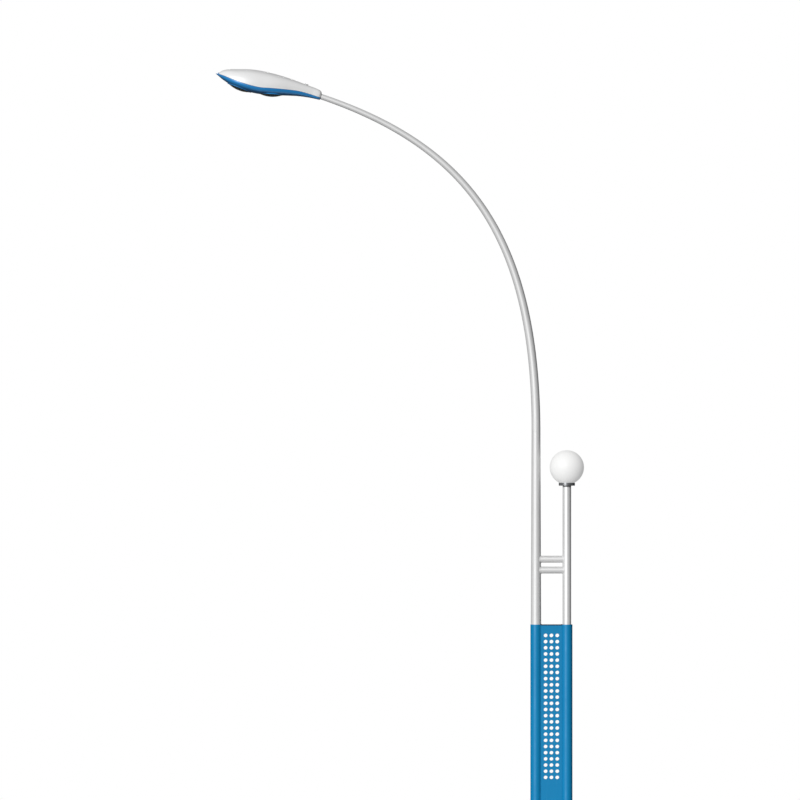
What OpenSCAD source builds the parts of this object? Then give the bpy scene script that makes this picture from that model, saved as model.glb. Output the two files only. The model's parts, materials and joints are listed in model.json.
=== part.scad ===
// Street lamp post: a blue twin-tube column with perforated sheets carries a tall shaft with a
// curved arm and a road luminaire, and a shorter post with a globe lamp.
// Sizes are in millimetres. The origin is the centre of the base plate's underside, midway
// between the two column tubes. +Z is up, the arm reaches towards -X, the front faces -Y.

/* [Column] */
// Height of the column's top above the ground
column_h = 3137; // [2900:1:3800]
// Outer diameter of each column tube
sleeve_od = 98; // [80:0.1:102]
// Wall of each column tube
sleeve_wall = 3.5; // [3:0.5:5]
// Distance between the two tube axes
tube_pitch = 270; // [240:5:330]
// Thickness of the perforated sheets
sheet_t = 4; // [3:0.5:6]
// Distance from the tube axes to the outer face of each sheet
sheet_offset = 28; // [24:1:34]
// Thickness of the cap that closes the top between the sheets
cap_t = 8; // [4:1:12]

/* [Perforation] */
// Diameter of one round hole
hole_d = 33; // [20:1:38]
// Vertical distance between hole rows
row_pitch = 54; // [45:1:56]
// Horizontal distance between hole columns
column_pitch = 51; // [42:1:54]
// Number of hole rows
hole_rows = 24; // [10:1:24]
// Number of hole columns
hole_columns = 3; // [1:1:3]
// Distance from the column's top to the first row
first_row = 96; // [60:1:160]

/* [Base] */
// How far the base plate reaches past each tube axis
base_margin = 115; // [110:5:180]
// Width of the base plate along Y
base_w = 360; // [300:10:440]
// Thickness of the base plate
base_t = 20; // [15:1:30]
// How far each anchor hole lies past its tube axis
anchor_margin = 65; // [62:1:80]
// Distance between anchor holes along Y
anchor_y = 260; // [220:5:270]
// Diameter of an anchor hole
anchor_d = 27; // [22:1:33]
// Diameter of the cable entry in the base plate
entry_d = 40; // [25:1:42]

/* [Door] */
// Width of the service opening
door_w = 136; // [110:2:140]
// Height of the service opening
door_h = 520; // [400:10:600]
// Height of the service opening's middle above the ground
door_z = 850; // [700:10:950]

/* [Shaft and arm] */
// Diameter of the arm at the luminaire
arm_tip_d = 48; // [42:1:60]
// Wall of the shaft and arm
pole_wall = 3.5; // [3:0.5:5]
// Height of the straight shaft above the column's top, up to the arm
shaft_rise = 1688; // [1400:1:2000]
// Horizontal reach of the arm's end from the shaft's axis
arm_reach = 1870; // [1500:10:2300]
// Height of the arm's end above the bend
arm_rise = 2927; // [2600:1:3200]
// Slope of the arm's end above horizontal
arm_slope = 18.8; // [10:0.1:25]
// How far up its rise the arm pulls upright, as a share
arm_upright = 0.584; // [0.4:0.001:0.7]
// How far back along its reach the arm pulls level, as a share
arm_level = 0.717; // [0.5:0.001:0.8]
// Length of the shaft held inside the column tube
spigot_l = 900; // [600:10:1100]

/* [Side post] */
// Radial room for the bushes between the side post and its column tube
post_gap = 8; // [4:0.5:12]
// Wall of the side post
post_wall = 3.5; // [3:0.5:5]
// Height of the side post's top above the column's top
post_rise = 1214.5; // [1000:0.5:1500]
// How much smaller a crossbar's radius is than the side post's
bar_inset = 7.5; // [2:0.5:14]
// Height of the lower crossbar's axis above the column's top
bar_low = 476; // [300:1:700]
// Distance between the crossbars' axes
bar_pitch = 95; // [75:1:150]

/* [Globe] */
// Diameter of the globe
globe_d = 300; // [250:5:340]
// Wall of the globe
globe_wall = 3; // [2:0.5:4]
// Diameter of the globe's collar
collar_d = 142; // [130:1:150]
// Height of the globe's collar
collar_h = 26; // [22:1:32]

/* [Luminaire] */
// Wall of the lower housing
tray_wall = 3; // [2:0.5:4]
// Wall of the top cover
cover_wall = 2.5; // [2:0.5:3]
// Outer radius of a lens frame
lens_frame_r = 112; // [86:0.1:114]
// Bulge of each lens below its frame's seat
lens_sag = 21; // [12:1:26]
// Height of each lens frame's seat above the housing's lowest line
unit_lift = 4; // [2:0.5:12]

/* [Hidden] */

// Colours
column_blue = [0.13, 0.50, 0.70];
lamp_blue = [0.02, 0.27, 0.54];
pole_silver = [0.88, 0.90, 0.90];
cover_grey = [0.80, 0.81, 0.82];
opal = [0.97, 0.97, 0.95];
metal = [0.75, 0.76, 0.78];
dark_plastic = [0.14, 0.15, 0.16];
rubber_black = [0.08, 0.08, 0.08];
lens_green = [0.30, 0.38, 0.34, 0.6];

// Fits
touch = 0.3;       // gap between faces that only meet
weld = 0.2;        // gap at a welded or clamped round seat
shaft_gap = 0.5;   // radial gap of the shaft in its column tube
pin_fit = 0.05;    // radial clearance of a turning pin
$fn = 64;

// Column values
sleeve_r = sleeve_od / 2;
sleeve_ir = sleeve_r - sleeve_wall;
tube_x = tube_pitch / 2;
base_l = tube_pitch + 2 * base_margin;
anchor_x = tube_pitch + 2 * anchor_margin;
sheet_in = sheet_offset - sheet_t;
plate_top = base_t;
column_l = column_h - plate_top;
sheet_edge = tube_x - sleeve_r / 2;      // the sheets' blank edge, cut back to the tubes
cable_r = 6;
cable_y = 4;
grommet_z = door_z + door_h / 2 + 45;
grommet_r = 12;

// Shaft and arm values
shaft_r = sleeve_ir - shaft_gap;
bend_z = column_h + shaft_rise;
arm_tip_r = arm_tip_d / 2;
shaft_x = -tube_x;
arm_start = [shaft_x, bend_z];
arm_end = [shaft_x - arm_reach, bend_z + arm_rise];
arm_dir = [-cos(arm_slope), sin(arm_slope)];
arm_p1 = arm_start + [0, arm_rise * arm_upright];
arm_p2 = arm_end - arm_dir * arm_reach * arm_level;
arm_steps = 26;
arm_sides = 24;
arm_socket = 140;                        // straight end of the arm, inside the luminaire
arm_length = path_length([for (i = [0 : arm_steps]) arm_at(i / arm_steps)]);
taper = (shaft_r - arm_tip_r) / (bend_z - column_h + arm_length);
bend_r = shaft_r - taper * (bend_z - column_h);
stop_h = 10;
shaft_foot = column_h - spigot_l;

// Side post values
post_r = sleeve_ir - post_gap;
post_top = column_h + post_rise;
post_ir = post_r - post_wall;
bar_r = post_r - bar_inset;
bar_wall = 3;
bar_z = column_h + bar_low;
bush_h = 40;

// Globe values
globe_r = globe_d / 2;
collar_r = collar_d / 2;
collar_wall = 3.5;
collar_floor = 5;
rim_ir = collar_r - collar_wall;
neck_r = rim_ir - 2.5;
collar_top = post_top + collar_h;
globe_z = collar_top + sqrt(pow(globe_r, 2) - pow(rim_ir, 2)) + touch;
gasket_h = 3;
holder_r = 22;
holder_h = 58;
holder_z = post_top + collar_floor;

// ---- Curves ----

function bezier(a, b, c, d, t) =
    a * pow(1 - t, 3) + b * 3 * t * pow(1 - t, 2) + c * 3 * t * t * (1 - t) + d * pow(t, 3);
function bezier_dir(a, b, c, d, t) =
    let (v = (b - a) * pow(1 - t, 2) + (c - b) * 2 * t * (1 - t) + (d - c) * t * t) v / norm(v);
function arm_at(t) = bezier(arm_start, arm_p1, arm_p2, arm_end, t);
function arm_dir_at(t) = bezier_dir(arm_start, arm_p1, arm_p2, arm_end, t);
function path_length(p, i = 1) = i < len(p) ? norm(p[i] - p[i - 1]) + path_length(p, i + 1) : 0;

// A smooth height through hand-set points [u, value], as a cubic through each pair
function slope(p, i) =
    i == 0 ? (p[1][1] - p[0][1]) / (p[1][0] - p[0][0]) :
    i == len(p) - 1 ? (p[i][1] - p[i - 1][1]) / (p[i][0] - p[i - 1][0]) :
    (p[i + 1][1] - p[i - 1][1]) / (p[i + 1][0] - p[i - 1][0]);
function span_of(p, u, i = 0) = (i >= len(p) - 2 || u < p[i + 1][0]) ? i : span_of(p, u, i + 1);
function smooth(p, u) =
    let (i = span_of(p, u), d = p[i + 1][0] - p[i][0], t = (u - p[i][0]) / d)
    p[i][1] * (1 + 2 * t) * pow(1 - t, 2) + slope(p, i) * d * t * pow(1 - t, 2)
    + p[i + 1][1] * t * t * (3 - 2 * t) + slope(p, i + 1) * d * t * t * (t - 1);

// ---- Solids from rings of points ----

// A closed solid through equal rings: with flat ends, or looped from the last ring to the first
module loft(rings, looped = false) {
    n = len(rings[0]);
    m = len(rings);
    sides = [for (i = [0 : looped ? m - 1 : m - 2], j = [0 : n - 1], k = [0, 1])
        let (a = i * n + j, b = i * n + (j + 1) % n, c = ((i + 1) % m) * n)
        k == 0 ? [a, b, c + (j + 1) % n] : [a, c + (j + 1) % n, c + j]];
    ends = looped ? [] : [[for (j = [n - 1 : -1 : 0]) j], [for (j = [0 : n - 1]) (m - 1) * n + j]];
    polyhedron([for (r = rings, p = r) p], concat(sides, ends));
}

// A ring of radius r round a point of a path in the plane of X and Z
function path_ring(p, d, r, n, y = 0) =
    [for (j = [0 : n - 1]) let (a = 360 * j / n)
        [p[0] + r * cos(a) * d[1], y + r * sin(a), p[1] - r * cos(a) * d[0]]];

function path_dir(p, i) =
    let (v = i == 0 ? p[1] - p[0] : i == len(p) - 1 ? p[i] - p[i - 1] : p[i + 1] - p[i - 1])
    v / norm(v);

module cable(path, y) {
    loft([for (i = [0 : len(path) - 1]) path_ring(path[i], path_dir(path, i), cable_r, 8, y)]);
}

// A thin shell between an outer and an inner grid of points, left open at chosen cells
module shell(outer, inner, open) {
    m = len(outer) - 1;
    n = len(outer[0]) - 1;
    w = n + 1;
    size = (m + 1) * w;
    function full(i, j) = i >= 0 && i < m && j >= 0 && j < n && !is_open(open, i, j);
    cells = [for (i = [0 : m - 1], j = [0 : n - 1]) if (full(i, j)) [i, j]];
    faces = [for (c = cells, f = cell_faces(c[0] * w + c[1], w, size,
        full(c[0] - 1, c[1]), full(c[0] + 1, c[1]), full(c[0], c[1] - 1), full(c[0], c[1] + 1))) f];
    polyhedron(concat([for (r = outer, p = r) p], [for (r = inner, p = r) p]), faces);
}
function is_open(open, i, j) =
    len([for (o = open) if (i >= o[0] && i <= o[1] && j >= o[2] && j <= o[3]) 1]) > 0;
function cell_faces(a, w, s, before, after, left, right) =
    let (b = a + 1, c = a + w + 1, d = a + w)
    concat(
        [[a, b, c], [a, c, d], [a + s, c + s, b + s], [a + s, d + s, c + s]],
        before ? [] : [[b, a, a + s], [b, a + s, b + s]],
        after ? [] : [[d, c, c + s], [d, c + s, d + s]],
        left ? [] : [[a, d, d + s], [a, d + s, a + s]],
        right ? [] : [[c, b, b + s], [c, b + s, c + s]]);

module ring(ro, ri, h) {
    difference() {
        cylinder(r = ro, h = h);
        translate([0, 0, -1]) cylinder(r = ri, h = h + 2);
    }
}

// ---- Column ----

module both_tubes() {
    for (x = [-tube_x, tube_x]) translate([x, 0, 0]) children();
}

module base_plate() {
    color(column_blue) difference() {
        translate([-base_l / 2, -base_w / 2, 0]) cube([base_l, base_w, base_t]);
        for (x = [-1, 1], y = [-1, 1])
            translate([x * anchor_x / 2, y * anchor_y / 2, -1]) cylinder(d = anchor_d, h = base_t + 2);
        translate([0, 0, -1]) cylinder(d = entry_d, h = base_t + 2);
    }
}

gusset_t = 8;
gusset_l = 60;
gusset_h = 150;
gusset_toe = 12;

module gusset() {
    translate([sleeve_r + weld, gusset_t / 2, plate_top]) rotate([90, 0, 0])
        linear_extrude(gusset_t)
            polygon([[0, 0], [gusset_l, 0], [gusset_l, gusset_toe], [gusset_toe, gusset_h], [0, gusset_h]]);
}

module base_gussets() {
    color(column_blue) {
        for (a = [90, 270]) both_tubes() rotate([0, 0, a]) gusset();
        translate([tube_x, 0, 0]) gusset();
        translate([-tube_x, 0, 0]) rotate([0, 0, 180]) gusset();
    }
}

screw_r = 5;
screw_z = [column_h - 80, column_h - 330];

module sleeve(inward) {
    difference() {
        translate([0, 0, plate_top]) cylinder(r = sleeve_r, h = column_l);
        translate([0, 0, plate_top - 1]) cylinder(r = sleeve_ir, h = column_l + 2);
        translate([0, cable_y, grommet_z]) rotate([0, inward * 90, 0]) cylinder(r = grommet_r, h = sleeve_od);
        for (z = screw_z) translate([0, 0, z]) rotate([-90, 0, 0]) cylinder(r = screw_r, h = sleeve_od);
    }
}

module sleeve_left() { color(column_blue) translate([-tube_x, 0, 0]) sleeve(1); }
module sleeve_right() { color(column_blue) translate([tube_x, 0, 0]) sleeve(-1); }

module sheet_holes() {
    for (i = [0 : hole_rows - 1], j = [0 : hole_columns - 1])
        translate([(j - (hole_columns - 1) / 2) * column_pitch, column_h - first_row - i * row_pitch])
            circle(d = hole_d);
}

// One sheet, cut back to the tubes it is welded to
module web_sheet(opening) {
    difference() {
        translate([0, -sheet_in, 0]) rotate([90, 0, 0]) linear_extrude(sheet_t) difference() {
            translate([-sheet_edge, plate_top]) square([2 * sheet_edge, column_l - cap_t - weld]);
            sheet_holes();
            if (opening) translate([-door_w / 2, door_z - door_h / 2]) square([door_w, door_h]);
        }
        both_tubes() cylinder(r = sleeve_r + weld, h = column_h + 1);
    }
}

module web_front() { color(column_blue) web_sheet(true); }
module web_rear() { color(column_blue) mirror([0, 1, 0]) web_sheet(false); }

// A level plate between the two tubes, reaching a half width to the front and the rear
module web_plate(z, t, half) {
    difference() {
        translate([-sheet_edge, -half, z]) cube([2 * sheet_edge, 2 * half, t]);
        both_tubes() translate([0, 0, z - 1]) cylinder(r = sleeve_r + weld, h = t + 2);
    }
}

diaphragm_t = 4;
diaphragm_z = [door_z + door_h / 2 + 90, column_h - first_row - (hole_rows - 0.5) * row_pitch - 20];

module web_cap() { color("midnightblue") web_plate(column_h - cap_t, cap_t, sheet_offset); }
module web_diaphragms() {
    color(column_blue) for (z = diaphragm_z) web_plate(z, diaphragm_t, sheet_in - weld);
}

// ---- Door ----

frame_band = 12;
frame_t = 8;
door_lap = 12;
gasket_t = 2;
leaf_t = 3;
leaf_y = -sheet_offset - gasket_t - touch;        // back face of the leaf
leaf_l = door_w / 2 + door_lap;
knuckle_r = 5.5;
hinge_x = -leaf_l - knuckle_r - 0.7;
hinge_y = leaf_y - leaf_t - 1;
door_pin_r = 2.5;
knuckle_h = 30;
hinge_zs = [door_z - door_h / 2 + 90, door_z + door_h / 2 - 90];
lock_x = door_w / 2 - 18;
lock_r = 7;
lock_head_r = 11;
lock_head_t = 3;
cam_t = 3;
cam_w = 12;
cam_l = door_w / 2 + frame_band + 2 - lock_x;
cam_y = -sheet_in + frame_t + 0.5;                // front face of the cam

module upright_frame(w, h, band, t) {
    rotate([90, 0, 0]) linear_extrude(t) difference() {
        square([w + 2 * band, h + 2 * band], center = true);
        square([w, h], center = true);
    }
}

// Reinforcing frame behind the service opening, with the fixed hinge barrels in front
module door_frame() {
    color(column_blue) {
        translate([0, -sheet_in + frame_t, door_z]) upright_frame(door_w, door_h, frame_band, frame_t);
        for (z = hinge_zs, s = [-1, 1]) difference() {
            z0 = z + s * (knuckle_h + touch);
            union() {
                translate([hinge_x, hinge_y, z0 - knuckle_h / 2]) cylinder(r = knuckle_r, h = knuckle_h);
                translate([hinge_x - 3, hinge_y, z0 - knuckle_h / 2])
                    cube([6, -sheet_offset - hinge_y, knuckle_h]);
            }
            translate([hinge_x, hinge_y, z0 - knuckle_h]) cylinder(r = door_pin_r + pin_fit, h = 2 * knuckle_h);
        }
    }
}

module door_hinge_pins() {
    pin_l = 3 * (knuckle_h + touch);
    color(metal) for (z = hinge_zs)
        translate([hinge_x, hinge_y, z - 1.5 * knuckle_h - touch]) {
            cylinder(r = door_pin_r, h = pin_l + 1);
            translate([0, 0, pin_l]) cylinder(r = door_pin_r + 1.5, h = 2);
        }
}

module door_gasket() {
    color(rubber_black) translate([0, -sheet_offset, door_z])
        upright_frame(door_w, door_h, door_lap - 2, gasket_t);
}

module access_door() {
    color(column_blue) {
        difference() {
            union() {
                translate([-leaf_l, leaf_y - leaf_t, door_z - door_h / 2 - door_lap])
                    cube([2 * leaf_l, leaf_t, door_h + 2 * door_lap]);
                for (z = hinge_zs) translate([hinge_x, leaf_y - leaf_t, z - knuckle_h / 2])
                    cube([2 * knuckle_r, leaf_t, knuckle_h]);
                for (z = hinge_zs) translate([hinge_x, hinge_y, z - knuckle_h / 2])
                    cylinder(r = knuckle_r, h = knuckle_h);
            }
            for (z = hinge_zs) translate([hinge_x, hinge_y, z - knuckle_h])
                cylinder(r = door_pin_r + pin_fit, h = 2 * knuckle_h);
            translate([lock_x, 0, door_z]) rotate([90, 0, 0])
                cylinder(r = lock_r + pin_fit, h = 2 * sheet_offset);
        }
    }
}

// Cam lock, drawn released: the cam points up beside the frame and turns behind it
module door_lock() {
    front = leaf_y - leaf_t;
    color(metal) translate([lock_x, 0, door_z]) {
        difference() {
            translate([0, front - 0.1, 0]) rotate([90, 0, 0]) cylinder(r = lock_head_r, h = lock_head_t);
            translate([0, front - 0.1, 0]) rotate([90, 0, 0])
                linear_extrude(2 * lock_head_t) circle(r = 5, $fn = 3);
        }
        translate([0, cam_y, 0]) rotate([90, 0, 0]) cylinder(r = lock_r, h = cam_y - front + 0.1);
        translate([-cam_w / 2, cam_y, -cam_w / 2]) cube([cam_w, cam_t, cam_l + cam_w / 2]);
    }
}

// ---- Equipment behind the door ----

plate_t = 3;
plate_w = 110;
plate_h = 440;
plate_front = sheet_in - touch - plate_t;         // front face of the mounting plate
box_w = 96;
box_h = 150;
box_d = 28;
box_z = door_z + 40;
box_wall = 2;
breaker_w = 36;
breaker_h = 70;
breaker_z = door_z - 110;
lever_r = 6;
lever_l = 13;

module equipment_plate() {
    color(metal) difference() {
        translate([-plate_w / 2, plate_front, door_z - plate_h / 2]) cube([plate_w, plate_t, plate_h]);
        for (x = [-1, 1], z = [-1, 1])
            translate([x * (plate_w / 2 - 10), 0, door_z + z * (plate_h / 2 - 12)])
                rotate([-90, 0, 0]) cylinder(r = 3, h = sheet_offset);
    }
}

// Cable joint box, hollow, with two gland necks on top for the lamp cables
module fuse_box() {
    back = plate_front;
    color(dark_plastic) difference() {
        union() {
            translate([-box_w / 2, back - box_d, box_z]) cube([box_w, box_d, box_h]);
            for (x = [-1, 1]) translate([x * box_w / 4, cable_y, box_z + box_h])
                cylinder(r = cable_r + 4, h = 18);
            for (z = [0 : 4]) translate([-box_w / 2 + 8, back - box_d - 2, box_z + 25 + z * 25])
                cube([box_w - 16, 3, 8]);
        }
        translate([-box_w / 2 + box_wall, back - box_d + box_wall, box_z + box_wall])
            cube([box_w - 2 * box_wall, box_d - 2 * box_wall, box_h - 2 * box_wall]);
        for (x = [-1, 1]) translate([x * box_w / 4, cable_y, box_z + box_h - 2 * box_wall])
            cylinder(r = cable_r + weld, h = 30);
    }
}

module breaker() {
    back = plate_front;
    color("gainsboro") difference() {
        union() {
            translate([-breaker_w / 2, back - box_d + 6, breaker_z]) cube([breaker_w, box_d - 6, breaker_h]);
            translate([-breaker_w / 2, back - box_d, breaker_z + 16])
                cube([breaker_w, 8, breaker_h - 32]);
        }
        translate([-breaker_w / 2 + 9, back - box_d - 1, breaker_z + breaker_h / 2 - lever_r - 7])
            cube([breaker_w - 18, 2 * lever_r + 3, 2 * lever_r + 14]);
    }
}

lever_y = plate_front - box_d + lever_r + 1;
module breaker_lever() {
    color(dark_plastic) translate([-breaker_w / 2 + 9 + touch, lever_y, breaker_z + breaker_h / 2]) {
        rotate([0, 90, 0]) cylinder(r = lever_r, h = breaker_w - 18 - 2 * touch);
        translate([3, -lever_l, -2.5]) cube([breaker_w - 24 - 2 * touch, lever_l, 5]);
    }
}

module earth_bolt() {
    z = door_z - 170;
    color("peru") translate([0, plate_front, z]) rotate([90, 0, 0]) {
        cylinder(r = 4, h = 22);
        cylinder(r = 8, h = 6, $fn = 6);
        translate([0, 0, 6]) cylinder(r = 9, h = 1.5);
        translate([0, 0, 7.5]) cylinder(r = 8, h = 6, $fn = 6);
    }
}

module cable_grommets() {
    color(rubber_black) for (s = [-1, 1])
        translate([s * (tube_x - sleeve_r + sleeve_wall / 2), cable_y, grommet_z])
            rotate([0, 90, 0]) difference() {
                union() {
                    cylinder(r = grommet_r - weld, h = sleeve_wall + 3, center = true);
                    translate([0, 0, -s * (sleeve_wall / 2 + 2)])
                        cylinder(r = grommet_r - weld, h = 3, center = true);
                }
                cylinder(r = cable_r + 2.5, h = 20, center = true);
            }
}

// ---- Poles ----

module pole_stops() {
    color(metal) both_tubes() translate([0, 0, shaft_foot - stop_h - touch])
        ring(sleeve_ir - weld, sleeve_ir - 18, stop_h);
}

module post_bushes() {
    color(rubber_black) for (z = [column_h - bush_h, shaft_foot + 20])
        translate([tube_x, 0, z]) ring(sleeve_ir - weld, post_r + weld, bush_h);
}

module lock_screw(y) {
    tip = y + pin_fit;
    rotate([-90, 0, 0]) {
        translate([0, 0, tip]) cylinder(r = screw_r - pin_fit, h = sleeve_r + 4 - tip);
        translate([0, 0, sleeve_r + 0.5]) cylinder(r = 8.5, h = 7, $fn = 6);
    }
}

module sleeve_screws() {
    color(metal) for (z = screw_z) {
        translate([-tube_x, 0, z]) lock_screw(shaft_r);
        translate([tube_x, 0, z]) lock_screw(post_r);
    }
}

module main_shaft() {
    cone_h = bend_z - column_h;
    color(pole_silver) translate([shaft_x, 0, 0]) difference() {
        union() {
            translate([0, 0, shaft_foot]) cylinder(r = shaft_r, h = spigot_l);
            translate([0, 0, column_h]) cylinder(r1 = shaft_r, r2 = bend_r, h = cone_h);
        }
        translate([0, 0, shaft_foot - 1]) cylinder(r = shaft_r - pole_wall, h = spigot_l + 1);
        translate([0, 0, column_h]) cylinder(r1 = shaft_r - pole_wall, r2 = bend_r - pole_wall, h = cone_h);
        translate([0, 0, bend_z - 1]) cylinder(r = bend_r - pole_wall, h = 2);
    }
}

// Inner sleeve that joins the arm to the shaft
sleeve_down = 160;
sleeve_up = 50;
sleeve_gap = 1.2;
module joint_sleeve() {
    inner = bend_r - pole_wall - sleeve_gap;
    low = inner + taper * sleeve_down;
    top = inner - taper * sleeve_up;
    h = sleeve_down + sleeve_up;
    color(metal) translate([shaft_x, 0, bend_z - sleeve_down]) difference() {
        cylinder(r1 = low, r2 = top, h = h);
        translate([0, 0, -1]) cylinder(r = top - 4, h = h + 2);
    }
}

// The arm's centre line, from the bend to the inner end of its straight socket
arm_path = concat([for (i = [0 : arm_steps]) arm_at(i / arm_steps)], [arm_end + arm_dir * arm_socket]);
function arm_r(i) = i > arm_steps ? arm_tip_r : bend_r - (bend_r - arm_tip_r) * i / arm_steps;
function arm_normal(i) = i == 0 ? [0, 1] : i >= arm_steps ? arm_dir : arm_dir_at(i / arm_steps);
function arm_rings(cut) =
    [for (i = [0 : arm_steps + 1]) path_ring(arm_path[i], arm_normal(i), arm_r(i) - cut, arm_sides)];

module curved_arm() {
    inner = arm_rings(pole_wall);
    color(pole_silver)
        loft(concat(arm_rings(0), [for (i = [len(inner) - 1 : -1 : 0]) inner[i]]), looped = true);
}

module side_post() {
    foot = shaft_foot;
    color(pole_silver) translate([tube_x, 0, foot]) ring(post_r, post_ir, post_top - foot);
}

// A tube from the shaft to the post, with its ends cut to fit both
module crossbar(z) {
    cone_h = bend_z - column_h;
    difference() {
        translate([-tube_x, 0, z]) rotate([0, 90, 0]) difference() {
            cylinder(r = bar_r, h = tube_pitch);
            translate([0, 0, -1]) cylinder(r = bar_r - bar_wall, h = tube_pitch + 2);
        }
        translate([-tube_x, 0, column_h])
            cylinder(r1 = shaft_r + weld, r2 = bend_r + weld, h = cone_h);
        translate([tube_x, 0, column_h]) cylinder(r = post_r + weld, h = cone_h);
    }
}

module crossbar_lower() { color(pole_silver) crossbar(bar_z); }
module crossbar_upper() { color(pole_silver) crossbar(bar_z + bar_pitch); }

// ---- Globe lamp ----

module at_post_top() { translate([tube_x, 0, post_top]) children(); }

fitter_spigot = 60;
globe_screw_z = collar_h - 9;

module globe_fitter() {
    color(dark_plastic) at_post_top() difference() {
        union() {
            cylinder(r = collar_r, h = collar_h);
            translate([0, 0, -fitter_spigot]) cylinder(r = post_ir - weld, h = fitter_spigot + 1);
        }
        translate([0, 0, collar_floor]) cylinder(r = rim_ir, h = collar_h);
        translate([0, 0, -fitter_spigot - 1]) cylinder(r = holder_r - 8, h = fitter_spigot + collar_floor + 2);
        translate([0, 0, -fitter_spigot - 1]) cylinder(r = post_ir - 5, h = fitter_spigot);
        for (a = [30, 150, 270]) rotate([0, 0, a]) translate([0, 0, globe_screw_z])
            rotate([0, 90, 0]) cylinder(r = 3, h = collar_d);
    }
}

module globe_gasket() {
    color(rubber_black) at_post_top() translate([0, 0, collar_floor]) ring(neck_r, neck_r - 6, gasket_h);
}

module globe() {
    neck_z = holder_z + gasket_h + touch;
    color(opal) translate([tube_x, 0, 0]) difference() {
        union() {
            translate([0, 0, globe_z]) sphere(r = globe_r);
            translate([0, 0, neck_z]) cylinder(r = neck_r, h = globe_z - neck_z);
        }
        translate([0, 0, globe_z]) sphere(r = globe_r - globe_wall);
        translate([0, 0, neck_z - 1]) cylinder(r = neck_r - globe_wall, h = globe_z - neck_z);
    }
}

module globe_screws() {
    color(metal) at_post_top() for (a = [30, 150, 270]) rotate([0, 0, a])
        translate([neck_r + touch, 0, globe_screw_z]) rotate([0, 90, 0])
            cylinder(r = 3 - pin_fit, h = collar_r - neck_r - touch);
}

bulb_base_r = 13;
module lamp_holder() {
    color("whitesmoke") translate([tube_x, 0, holder_z]) difference() {
        union() {
            cylinder(r = holder_r, h = 12);
            cylinder(r = holder_r - 3, h = holder_h);
        }
        translate([0, 0, 22]) cylinder(r = bulb_base_r + weld, h = holder_h);
    }
}

// Lamp bulb: screw base, neck and a round head
module globe_bulb() {
    base_z = holder_z + 24;
    head_r = 30;
    color("ivory") translate([tube_x, 0, base_z]) {
        cylinder(r = bulb_base_r, h = 36);
        translate([0, 0, 36]) cylinder(r1 = bulb_base_r + 1, r2 = head_r * 0.8, h = 34);
        translate([0, 0, 36 + 34 + head_r * 0.6]) sphere(r = head_r);
    }
}

// ---- Luminaire shape ----
// Its own frame starts at the arm's end: u runs along the arm's slope to the tip, w is up.

// Outline heights and half width at each place along u
cover_line = [[14, 27.5], [24, 42], [38, 49.5], [70, 54], [150, 57], [330, 62], [500, 54.5], [650, 32.5],
    [780, -8], [870, -42], [948, -96]];
seam_line = [[14, -12], [150, -15], [250, -28], [450, -77], [530, -99], [620, -110], [720, -113], [800, -110],
    [870, -104], [900, -103], [948, -103]];
keel_line = [[14, -31], [100, -41], [200, -60], [320, -94], [440, -128], [560, -156], [680, -163], [790, -156],
    [870, -137], [925, -116], [948, -106]];
half_line = [[14, 31], [30, 43], [100, 54], [250, 92], [400, 134], [520, 155], [650, 164], [750, 151],
    [850, 110], [910, 62], [948, 8]];
cover_n = 2.4;                            // roundness of the cover's section
tray_n = 3;                               // roundness of the lower housing's section
seam_gap = 0.5;                           // half the open joint between cover and housing
cover_front = 922;
front_round = 25;
columns = 17;

function seam_at(u) = smooth(seam_line, u);
function half_at(u) = smooth(half_line, u);
function keel_at(u) = smooth(keel_line, u);
function front_factor(u) =
    u < cover_front - front_round ? 1
    : max(0.06, sqrt(max(0, 1 - pow((u - cover_front + front_round) / front_round, 2))));
function cover_at(u) = seam_at(u) + (smooth(cover_line, u) - seam_at(u)) * front_factor(u);

// Points across one section: half width h, rise r from height s, with roundness n
function section(u, h, s, r, n) =
    [for (j = [0 : columns]) let (a = 180 * j / columns)
        [u, h * sign(cos(a)) * pow(abs(cos(a)), 2 / n), s + r * pow(max(0, sin(a)), 2 / n)]];

cover_stations = [14, 18, 24, 32, 44, 60, 84, 116, 154, 176, 220, 270, 320, 370, 420, 470, 520, 570, 620, 670,
    720, 765, 805, 840, 870, 895, 905, 913, 919, 922];
tray_stations = [14, 24, 40, 64, 94, 130, 170, 215, 260, 300, 340, 380, 420, 460, 500, 540, 580, 620, 660,
    700, 740, 780, 815, 845, 870, 890, 906, 918, 930, 940, 948];
nose_u = 890;                             // the housing is solid from here to the tip
function hollow(u) = u < nose_u ? 1 : max(0, 1 - (u - nose_u) / 28);

module at_luminaire() {
    translate([arm_end[0], 0, arm_end[1]]) rotate([0, -arm_slope, 180]) children();
}

// ---- Lens units ----
// Each unit has its own frame: z = 0 is the seat at the housing's underside, +z points in.

function unit_tilt(u) = atan2(keel_at(u + lens_frame_r) - keel_at(u - lens_frame_r), 2 * lens_frame_r);
unit_front = 712;
unit_rear = 434;

module at_unit(u) {
    at_luminaire() translate([u, 0, keel_at(u) + unit_lift]) rotate([0, -unit_tilt(u), 0]) children();
}
module both_units() {
    at_unit(unit_front) children();
    at_unit(unit_rear) children();
}

lip_h = 2.5;
frame_wall = 5.5;
frame_seat = 4.5;
frame_screw_r = 1.5;
screw_head_inset = 0.15;                  // from a screw head's rim to the frame's edges
frame_h = 18;
pocket_r = lens_frame_r - frame_wall;
lip_r = pocket_r - frame_seat;
frame_screw_x = lens_frame_r - frame_wall / 2;
lens_t = 4;
seal_t = 2.5;
flange_z = lens_t + touch;
reflector_z = flange_z + seal_t + touch;
reflector_h = 18;
reflector_r = 42;
board_z = reflector_z + reflector_h + touch;
board_t = 2;
sink_z = board_z + board_t + 0.1;

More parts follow.
